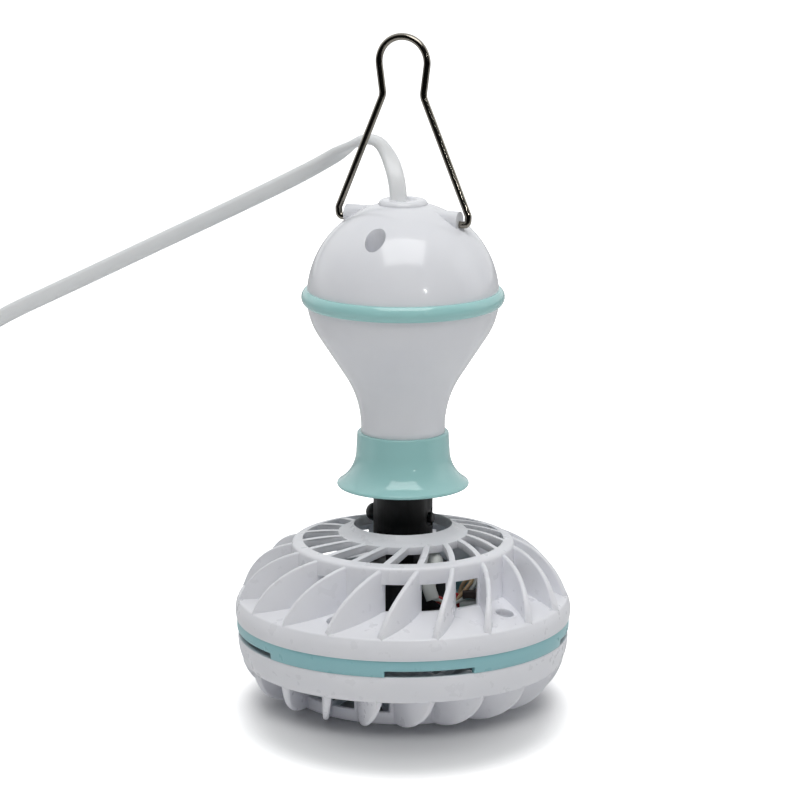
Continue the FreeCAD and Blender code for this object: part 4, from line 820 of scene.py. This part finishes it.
# the drum's wall with its windows
outerLow = len(profile)
profile += rowsOf([(upper["drumR"], upper["shelf"] - 0.1), (upper["drumR"], upper["windowTop"])])
outerHigh = len(profile) - 1
profile += rowsOf([(upper["drumR"] - 0.2, upper["drum"] - 2.0)])
profile += rowsOf(arcPoints((upper["drumR"] - 0.3, upper["drum"] - 1.3),
                            (upper["drumR"] - 0.7, upper["drum"] - 0.4),
                            (upper["drumR"] - 1.6, upper["drum"]), 4))
# the crown with its slots, and the lip round the mouth
slotStart = len(profile)
crownArc = arcPoints((upper["slotOut"], upper["drum"] + 0.5), (upper["slotMid"], upper["drum"] + 2.1),
                     (upper["slotIn"], upper["crown"]), 8)
profile += spokeRows(crownArc, upper["spoke"])
slotEnd = len(profile) - 1
profile += rowsOf(arcPoints((upper["slotIn"] - 3.0, upper["crown"] + 0.5),
                            (upper["mouth"] + 1.0, upper["lip"] - 1.0),
                            (upper["mouth"] + 0.3, upper["lip"]), 6))
profile += rowsOf([(upper["mouth"], upper["lip"] - 0.5), (upper["mouth"], upper["crown"] - 0.6),
                   (upper["mouth"] + 2.0, upper["crown"] - 1.5)])
# back along the inside
innerSlotStart = len(profile)
innerArc = [(r, z - upper["spokeDepth"]) for r, z in crownArc[::-1]]
profile += spokeRows(innerArc, upper["spoke"] * 0.8)
innerSlotEnd = len(profile) - 1
profile += rowsOf([(innerR, upper["drum"] - upper["spokeDepth"])])
innerHigh = len(profile)
profile += rowsOf([(innerR, upper["windowTop"]), (innerR, upper["shelf"] - 0.1)])
innerLow = len(profile) - 1
profile += rowsOf([(innerR, upper["shelf"] - 1.4), (upper["rimR"] - 2.0, upper["rim"] - upper["wall"]),
                   (upper["flangeR"], upper["flangeZ"]), (upper["cageR"] - 2.5, upper["low"])])
closedUpper = [(k - 1) % swirl["bays"] for k in swirl["screwBays"]]
cuts = [(outerLow, outerHigh, innerHigh, innerLow, True),
        (slotStart, slotEnd, innerSlotStart, innerSlotEnd, False)]
upperShape = ringShell(profile, cuts, 1, closedUpper)
upperShell = newObject("upper_cage_shell", plainMesh("upper_cage_shell", upperShape), cageAbs)
bores = [cylinderMesh(boss["bore"], (*planPoint(swirl["screwR"], angle), boss["cutLow"]),
                      (*planPoint(swirl["screwR"], angle), boss["cutHigh"]), 32) for angle in screwAngles]
combined(upperShell, bores, "DIFFERENCE")
modify(upperShell, "BEVEL", width=upper["edge"] * mm, segments=2, limit_method="ANGLE",
       angle_limit=math.radians(42))
baked(upperShell)
paint(upperShell, cageAbs)
smoothBy(upperShell, 38)

finMiddle = (54.6, 49.5)    # a point of the fins' free edge, radius and height
topAt = circleHeight(((upper["rimR"] - 0.3, upper["rim"]), finMiddle,
                      (upper["drumR"] - 0.3, upper["drum"] - 1.0)))
slope = (upper["shelf"] - upper["rim"]) / (upper["rimR"] - 0.6 - upper["drumR"])


def shelfAt(radius):
    return upper["shelf"] - slope * (radius - upper["drumR"])


upperFin = finMesh(1, upper["drumR"] - 1.2, upper["rimR"] - 0.4, lambda r: shelfAt(r) - 0.9,
                   lambda r: max(topAt(r), shelfAt(r) - 0.5), True)
upperFins = newObject("upper_cage_fins", plainMesh("upper_cage_fins", upperFin), cageAbs)
roundTheAxis(upperFins, swirl["bays"], firstTurn, bayAngle, cageAbs)
smoothBy(upperFins, 45)


bossOutline = [(boss["hole"], boss["low"]), (boss["outer"], boss["low"]), (boss["outer"], boss["high"]),
               (boss["bore"], boss["high"]), (boss["bore"], boss["floor"]), (boss["hole"], boss["floor"])]
bossShape = bmesh.new()
for angle in screwAngles:
    one = revolved(bossOutline, 36)
    bmesh.ops.translate(one, verts=one.verts, vec=(swirl["screwR"] * mm, 0, 0))
    bmesh.ops.rotate(one, verts=one.verts, cent=(0, 0, 0),
                     matrix=Matrix.Rotation(math.radians(angle), 3, "Z"))
    mesh = plainMesh("one", one)
    bossShape.from_mesh(mesh)
    bpy.data.meshes.remove(mesh)
upperBosses = newObject("upper_cage_bosses", plainMesh("upper_cage_bosses", bossShape), cageAbs)
smoothBy(upperBosses, 35)
for piece in (upperShell, upperFins, upperBosses):
    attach(piece, "fan_head")
    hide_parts("upper_grille")
print("upper grille ready")


# Lower grille

lower = {
    "top": 24.0, "low": 13.8, "topR": 61.5, "lowR": 59.2, "bellyZ": 18.4, "innerBellyZ": 19.0, "drumR": 41.6,
    "drumTop": 9.4, "lip": 2.6, "floorZ": 1.6, "floorT": 2.0, "hubR": 16.0, "plateR": 12.0, "poleR": 0.01,
    "slotOut": 37.3, "slotSteps": 8, "windowLow": 4.6, "windowHigh": 9.0, "wall": 1.8,
}
innerR = lower["drumR"] - lower["wall"]
lipR = lower["drumR"] - lower["lip"]
floorTop = lower["floorZ"] + lower["floorT"]
# the belly, then in along the shelf, down the drum and round the lip that it stands on
rows = rowsOf(arcPoints((lower["topR"], lower["top"]), (lower["topR"] - 0.5, lower["bellyZ"]),
                        (lower["lowR"], lower["low"]), 8))
rows += rowsOf([(lower["lowR"] - 0.8, lower["low"] - 0.2), (lower["drumR"] + 0.3, lower["drumTop"])])
outerHigh = len(rows)
rows += rowsOf([(lower["drumR"], lower["windowHigh"]), (lower["drumR"], lower["windowLow"])])
outerLow = len(rows) - 1
rows += rowsOf([(lower["drumR"], 0.4), (lower["drumR"] - 0.4, 0.0), (lipR + 0.4, 0.0), (lipR, 0.4),
                (lipR, lower["floorZ"])])
# the slotted floor, under and upper side
slotStart = len(rows)
floorRadii = [lower["slotOut"] + (lower["hubR"] - lower["slotOut"]) * k / lower["slotSteps"]
              for k in range(lower["slotSteps"] + 1)]
rows += spokeRows([(r, lower["floorZ"]) for r in floorRadii], upper["spoke"])
slotEnd = len(rows) - 1
rows += rowsOf([(lower["plateR"], lower["floorZ"]), (lower["poleR"], lower["floorZ"]),
                (lower["poleR"], floorTop), (lower["plateR"], floorTop)])
innerSlotStart = len(rows)
rows += spokeRows([(r, floorTop) for r in floorRadii[::-1]], upper["spoke"])
innerSlotEnd = len(rows) - 1
# back up the inside
rows += rowsOf([(innerR, floorTop)])
innerLow = len(rows)
rows += rowsOf([(innerR, lower["windowLow"]), (innerR, lower["windowHigh"])])
innerHigh = len(rows) - 1
rows += rowsOf([(innerR, lower["drumTop"] + 1.4), (lower["lowR"] - 2.6, lower["low"] + 1.2)])
rows += rowsOf(arcPoints((lower["lowR"] - 2.2, lower["low"] + 1.6),
                         (lower["topR"] - 2.5, lower["innerBellyZ"]), (lower["topR"] - 2.0, lower["top"]), 6))
cuts = [(outerHigh, outerLow, innerLow, innerHigh, False),
        (slotStart, slotEnd, innerSlotStart, innerSlotEnd, False)]
lowerShape = ringShell(rows, cuts, -1, [])
lowerShell = newObject("lower_cage_shell", plainMesh("lower_cage_shell", lowerShape), cageAbs)
modify(lowerShell, "BEVEL", width=upper["edge"] * mm, segments=2, limit_method="ANGLE",
       angle_limit=math.radians(42))
baked(lowerShell)
paint(lowerShell, cageAbs)
smoothBy(lowerShell, 38)

lowFinRoot = (lower["drumR"] + 0.6, 0.3)
lowFinMiddle = (53.6, 4.3)    # a point of the fins' free edge, radius and height
bottomAt = circleHeight((lowFinRoot, lowFinMiddle, (lower["lowR"] - 0.1, lower["low"] - 0.1)))
lowSlope = (lower["low"] - 0.2 - lower["drumTop"]) / (lower["lowR"] - 0.8 - lower["drumR"])


def lowShelfAt(radius):
    return lower["drumTop"] + lowSlope * (radius - lower["drumR"])


def lowEdgeAt(radius):
    if radius < lowFinRoot[0]:
        return lowFinRoot[1]
    return min(bottomAt(radius), lowShelfAt(radius) + 0.4)


lowerFin = finMesh(-1, lower["drumR"] - 0.9, lower["lowR"] - 0.3, lowEdgeAt,
                   lambda r: lowShelfAt(r) + 0.9, False)
lowerFins = newObject("lower_cage_fins", plainMesh("lower_cage_fins", lowerFin), cageAbs)
roundTheAxis(lowerFins, swirl["bays"], firstTurn, bayAngle, cageAbs)
smoothBy(lowerFins, 45)
for piece in (lowerShell, lowerFins):
    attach(piece, "fan_head")
    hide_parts("lower_grille")
print("lower grille ready")


# Bail: one bent wire

bail = {
    "wire": 1.3, "innerX": 13.9, "z": 179.0, "footX": 25.6, "footZ": 182.4, "throatX": 7.95, "throatZ": 224.9,
    "loopX": 10.8, "topZ": 246.2, "lean": 0.15, "bends": [1.55, 1.9, 5.0, 9.3], "sides": 20,
}


def roundSection(radius, sides):
    angles = [2 * math.pi * k / sides for k in range(sides)]
    return [(radius * math.cos(angle), radius * math.sin(angle)) for angle in angles]


def roundedLine(points, radii, step=0.5):    # straight runs joined by arcs
    corners = [Vector(point) for point in points]
    line = [corners[0]]
    for number in range(1, len(corners) - 1):
        before = (corners[number - 1] - corners[number]).normalized()
        after = (corners[number + 1] - corners[number]).normalized()
        half = before.angle(after) / 2
        radius = radii[number - 1]
        inwards = (before + after).normalized()
        centre = corners[number] + inwards * (radius / math.sin(half))
        enter = corners[number] + before * (radius / math.tan(half))
        turn = math.pi - 2 * half
        axis = (-before).cross(after).normalized()
        count = max(4, int(radius * turn / step))
        for k in range(count + 1):
            line.append(centre + Matrix.Rotation(turn * k / count, 3, axis) @ (enter - centre))
    line.append(corners[-1])
    return line


rightSide = [(bail["innerX"], 0, bail["z"]), (bail["footX"], 0, bail["z"]),
             (bail["footX"] + bail["lean"], 0, bail["footZ"]), (bail["throatX"], 0, bail["throatZ"]),
             (bail["loopX"], 0, bail["topZ"])]
leftSide = [(-x, y, z) for x, y, z in reversed(rightSide)]
wireLine = [point * mm for point in roundedLine(rightSide + leftSide, bail["bends"] + bail["bends"][::-1])]
bailShape = sweptMesh(wireLine, roundSection(bail["wire"], bail["sides"]),
                      [Vector((0, 1, 0))] * len(wireLine))
bailPiece = newObject("bail_hook_wire", plainMesh("bail_hook_wire", bailShape), nickelWire)
smoothBy(bailPiece, 60)
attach(bailPiece, "bail")
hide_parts("bail_wire")
print("bail ready")


# Wires inside the cage, seen through its windows

wires = {
    "sleeve": 2.5, "core": 0.75, "fuse": 1.6, "block": (5.4, 4.4, 3.0), "blockAt": (32.0, -12.0, 44.7),
    "fuseFrom": (28.6, -13.6, 40.8), "fuseTo": (35.2, -10.7, 41.1), "sides": 14, "bendShare": 0.42,
    "turnStep": 0.4, "across": (0.31, 0.17, 0.94),
}
sleeveRoute = [(13.4, -6.6, 51.6), (17.4, -10.6, 57.2), (20.4, -15.0, 54.0), (18.4, -19.4, 48.6),
               (20.6, -19.8, 43.2)]
coreRoutes = {
    "wire_red_a": ([(19.8, -19.6, 45.0), (24.0, -18.6, 41.0), (28.0, -14.2, 45.6), (28.8, -13.6, 40.6),
                    (27.4, -12.4, 34.0), (22.6, -12.0, 31.4)], redWire),
    "wire_red_b": ([(20.6, -19.4, 44.6), (25.4, -17.6, 42.4), (29.4, -13.0, 44.2), (27.6, -14.4, 41.4),
                    (30.4, -11.4, 36.0), (25.4, -8.4, 31.4)], redWire),
    "wire_tan": ([(20.2, -20.2, 44.4), (25.8, -17.4, 40.6), (29.6, -13.2, 44.8), (32.8, -11.8, 49.5),
                  (31.4, -8.2, 50.6), (26.4, -6.6, 46.0), (24.0, -6.0, 36.0)], tanWire),
    "wire_white": ([(20.8, -20.2, 43.8), (27.0, -16.4, 41.4), (30.6, -12.8, 43.2), (34.0, -10.8, 49.0),
                    (32.4, -7.0, 49.0), (26.6, -7.4, 43.0), (24.6, -7.2, 34.0)], sleevePvc),
}


def cordedPiece(name, route, radius, material):
    radii = []
    for before, here, after in zip(route, route[1:], route[2:]):
        before, here, after = Vector(before), Vector(here), Vector(after)
        half = (before - here).angle(after - here) / 2
        shorter = min((before - here).length, (after - here).length)
        radii.append(wires["bendShare"] * shorter * math.tan(half))
    line = [point * mm for point in roundedLine(route, radii, wires["turnStep"])]
    section = roundSection(radius, wires["sides"])
    mesh = plainMesh(name, sweptMesh(line, section, [Vector(wires["across"])] * len(line)))
    piece = newObject(name, mesh, material)
    smoothBy(piece, 60)
    return piece


wirePieces = [cordedPiece("wire_sleeve", sleeveRoute, wires["sleeve"], sleevePvc)]
for name, (route, material) in coreRoutes.items():
    wirePieces.append(cordedPiece(name, route, wires["core"], material))
fuseShape = cylinderMesh(wires["fuse"], wires["fuseFrom"], wires["fuseTo"], 28)
wirePieces.append(newObject("wire_fuse", plainMesh("wire_fuse", fuseShape), sleevePvc))
smoothBy(wirePieces[-1], 40)
blockShape = bmesh.new()
bmesh.ops.create_cube(blockShape, size=1.0)
bmesh.ops.scale(blockShape, vec=[size * mm for size in wires["block"]], verts=blockShape.verts)
bmesh.ops.rotate(blockShape, verts=blockShape.verts, cent=(0, 0, 0), matrix=Matrix.Rotation(azimuth, 3, "Z"))
bmesh.ops.translate(blockShape, verts=blockShape.verts, vec=[value * mm for value in wires["blockAt"]])
block = newObject("wire_block", plainMesh("wire_block", blockShape), brownBlock)
modify(block, "BEVEL", width=0.4 * mm, segments=3)
baked(block)
smoothBy(block, 35)
for piece in wirePieces + [block]:
    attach(piece, "fan_head")
    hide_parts("lead_wires")
print("wires ready")


# CAD pieces that stay: each gets its finish, and small ones a softened edge

finishes = {
    "middle_ring": bandAbs, "motor_can": blackPaint, "motor_base": blackPaint, "motor_bracket": blackNylon,
    "drop_tube": blackNylon, "pivot_screw": blackPaint, "pivot_nut": blackPaint, "impeller": impellerAbs,
    "impeller_nut": impellerAbs, "motor_shaft": zincSteel, "motor_magnet": ironCore, "motor_stator": ironCore,
    "motor_bushes": bronzeBush, "motor_screws": zincSteel, "bracket_screws": zincSteel,
    "grille_screws": zincSteel, "swing_coupling": blackNylon, "cross_pin": zincSteel,
    "swing_shaft": zincSteel,
    "neck_bush": bushAcetal, "joint_screws": zincSteel, "swing_motor": zincSteel, "swing_screws": zincSteel,
    "cord_tail": cordPvc, "cord_clamp": whiteAbs, "clamp_screws": zincSteel, "plug_body": cordPvc,
    "plug_pins": brassPin,
}
# width of the rounding on the edges that show, in millimetres
softEdges = {"middle_ring": 0.25, "drop_tube": 0.3, "motor_can": 0.15, "motor_base": 0.15,
             "motor_bracket": 0.3, "impeller": 0.25, "plug_body": 0.4, "plug_pins": 0.2, "pivot_nut": 0.2}
for name, material in finishes.items():
    part = nodes[name]
    paint(part, material)
    part.data.polygons.foreach_set("use_smooth", [True] * len(part.data.polygons))
    modify(part, "WELD", merge_threshold=0.002 * mm)
    if name in softEdges:
        modify(part, "BEVEL", width=softEdges[name] * mm, segments=2, limit_method="ANGLE",
               angle_limit=math.radians(40), harden_normals=True)
    modify(part, "EDGE_SPLIT", split_angle=math.radians(35), use_edge_angle=True, use_edge_sharp=False)

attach(mainsCord, "housing")
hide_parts("cord_lead", "cord_coil")
print("CAD pieces finished")


# Floor, lamps and background

behind = (-math.sin(azimuth), math.cos(azimuth))    # away from the camera, over the floor
# shift, squeeze and the near and far shade distances place the painted shadow on the floor
stage = {"size": 12.0, "sink": 0.2, "flagNear": 0.10, "flagFar": 0.35, "shift": 0.028, "squeeze": 1.25,
         "paintedShadowNear": 0.025, "paintedShadowFar": 0.085, "clear": 0.06, "white": 0.10}
# the floor's own pale tone, the grey of a painted shadow, and the dark that reflections find
paleFloor, paintedShadowTone, flaggedFloor = [hexToLinear(code) for code in ("#F4F4F4", "#A8A9AB", "#202020")]
floorShape = bmesh.new()
bmesh.ops.create_grid(floorShape, x_segments=1, y_segments=1, size=stage["size"] / 2)
floor = newObject("floor", plainMesh("floor", floorShape))
floorMaterial, tree = materialTree("pale_sweep")
rays = addNode(tree, "ShaderNodeLightPath")
spot = addNode(tree, "ShaderNodeTexCoord").outputs["Object"]
# a soft shadow is painted into the floor's colour, shifted towards the camera and seen only by it; past it,
# what the camera sees of the floor is white
turnedSpot = addNode(tree, "ShaderNodeMapping", {"Vector": spot, "Rotation": (0, 0, -azimuth)},
                     vector_type="POINT")
shifted = addNode(tree, "ShaderNodeVectorMath", {0: turnedSpot.outputs[0], 1: (0, stage["shift"], 0)},
                  operation="ADD")
squeezed = addNode(tree, "ShaderNodeVectorMath", {0: shifted.outputs[0], 1: (stage["squeeze"], 1, 0)},
                   operation="MULTIPLY")
reach = addNode(tree, "ShaderNodeVectorMath", {0: squeezed.outputs[0]}, operation="LENGTH")
paintedShadowMask = addNode(tree, "ShaderNodeMapRange", {"Value": reach.outputs["Value"], "From Min": stage["paintedShadowNear"],
                "From Max": stage["paintedShadowFar"]}, interpolation_type="SMOOTHSTEP")
cleared = addNode(tree, "ShaderNodeMapRange", {"Value": reach.outputs["Value"], "From Min": stage["clear"],
                  "From Max": stage["white"]}, interpolation_type="SMOOTHSTEP")
lift = addNode(tree, "ShaderNodeMath", {0: rays.outputs["Is Camera Ray"], 1: cleared.outputs[0]},
               operation="MULTIPLY")
# painted shadow: grey near the fan, fading out to the pale floor
paintedShadowPatch = addNode(tree, "ShaderNodeMix", {0: paintedShadowMask.outputs[0], 6: paintedShadowTone, 7: paleFloor},
                data_type="RGBA").outputs[2]
floorWithPaintedShadow = addNode(tree, "ShaderNodeMix", {0: rays.outputs["Is Camera Ray"], 6: paleFloor, 7: paintedShadowPatch},
               data_type="RGBA").outputs[2]
# reflections find a dark floor in front of the fan, as under a studio camera
ahead = addNode(tree, "ShaderNodeVectorMath", {0: spot, 1: (-behind[0], -behind[1], 0)},
                operation="DOT_PRODUCT")
flag = addNode(tree, "ShaderNodeMapRange", {"Value": ahead.outputs["Value"], "From Min": stage["flagNear"],
               "From Max": stage["flagFar"]}, interpolation_type="SMOOTHSTEP")
flagged = addNode(tree, "ShaderNodeMath", {0: rays.outputs["Is Glossy Ray"], 1: flag.outputs[0]},
                  operation="MULTIPLY")
shown = addNode(tree, "ShaderNodeMix", {0: flagged.outputs[0], 6: floorWithPaintedShadow, 7: flaggedFloor},
                data_type="RGBA").outputs[2]
matte = addNode(tree, "ShaderNodeBsdfDiffuse", {"Color": shown})
glow = addNode(tree, "ShaderNodeEmission", {"Color": (1, 1, 1, 1), "Strength": lift.outputs[0]})
both = addNode(tree, "ShaderNodeAddShader", {0: matte.outputs[0], 1: glow.outputs[0]})
addNode(tree, "ShaderNodeOutputMaterial", {"Surface": both.outputs[0]})
paint(floor, floorMaterial)
floor.location.z = -stage["sink"] * mm

sky = {"lean": 0.35, "softFrom": -0.35, "softTo": 1.0, "softLow": 0.05, "softHigh": 0.5, "mirrorFrom": -0.35,
       "mirrorTo": 0.55, "mirrorLow": 0.015, "mirrorHigh": 1.0, "tint": (0.97, 0.985, 1, 1)}
world = bpy.data.worlds.new("studio")
scene.world = world
world.use_nodes = True
tree = world.node_tree
tree.nodes.clear()
rays = addNode(tree, "ShaderNodeLightPath")
direction = addNode(tree, "ShaderNodeTexCoord").outputs["Generated"]
# soft light falls from above; reflections find a dark studio on the camera's side
height = addNode(tree, "ShaderNodeVectorMath", {0: direction, 1: (sky["lean"] * behind[0],
                 sky["lean"] * behind[1], 1.0)}, operation="DOT_PRODUCT")
soft = addNode(tree, "ShaderNodeMapRange", {"Value": height.outputs["Value"], "From Min": sky["softFrom"],
               "From Max": sky["softTo"], "To Min": sky["softLow"], "To Max": sky["softHigh"]},
               interpolation_type="SMOOTHSTEP")
sight = addNode(tree, "ShaderNodeVectorMath", {0: direction, 1: (*behind, sky["lean"])},
                operation="DOT_PRODUCT")
mirror = addNode(tree, "ShaderNodeMapRange", {"Value": sight.outputs["Value"], "From Min": sky["mirrorFrom"],
                 "From Max": sky["mirrorTo"], "To Min": sky["mirrorLow"], "To Max": sky["mirrorHigh"]},
                 interpolation_type="SMOOTHSTEP")
glossy = addNode(tree, "ShaderNodeMath", {0: rays.outputs["Is Glossy Ray"],
                 1: rays.outputs["Is Transmission Ray"]}, operation="MAXIMUM")
level = addNode(tree, "ShaderNodeMix", {0: glossy.outputs[0], 2: soft.outputs[0], 3: mirror.outputs[0]},
                data_type="FLOAT").outputs[0]
strength = addNode(tree, "ShaderNodeMix", {0: rays.outputs["Is Camera Ray"], 2: level, 3: 1.0},
                   data_type="FLOAT").outputs[0]
around = addNode(tree, "ShaderNodeBackground", {"Color": sky["tint"], "Strength": strength})
pure = addNode(tree, "ShaderNodeBackground", {"Color": (1, 1, 1, 1), "Strength": 1.0})
seen = addNode(tree, "ShaderNodeMixShader", {0: rays.outputs["Is Camera Ray"], 1: around.outputs[0],
               2: pure.outputs[0]})
addNode(tree, "ShaderNodeOutputWorld", {"Surface": seen.outputs[0]})


def softbox(name, place, target, size, power):
    lamp = bpy.data.lights.new(name, "AREA")
    lamp.shape = "RECTANGLE"
    lamp.size, lamp.size_y = size
    lamp.energy = power
    box = bpy.data.objects.new(name, lamp)
    box.location = place
    box.rotation_mode = "QUATERNION"
    box.rotation_quaternion = (Vector(place) - Vector(target)).to_track_quat("Z", "Y")
    scene.collection.objects.link(box)


softbox("overhead", (0.2, -0.42, 1.2), (0, 0, 0.1), (0.95, 0.7), 7.4)
softbox("left_side", (-1.1, 0.35, 0.6), (0, 0, 0.1), (0.7, 0.9), 0.4)
softbox("right_side", (1.1, 0.6, 0.55), (0, 0, 0.1), (0.7, 0.9), 0.9)
softbox("spark", (1.25, -1.0, 0.62), (0, 0, 0.13), (0.06, 0.06), 0.7)
scene.view_settings.view_transform = "Standard"
scene.cycles.max_bounces = 16
scene.cycles.diffuse_bounces = 10
print("stage ready")
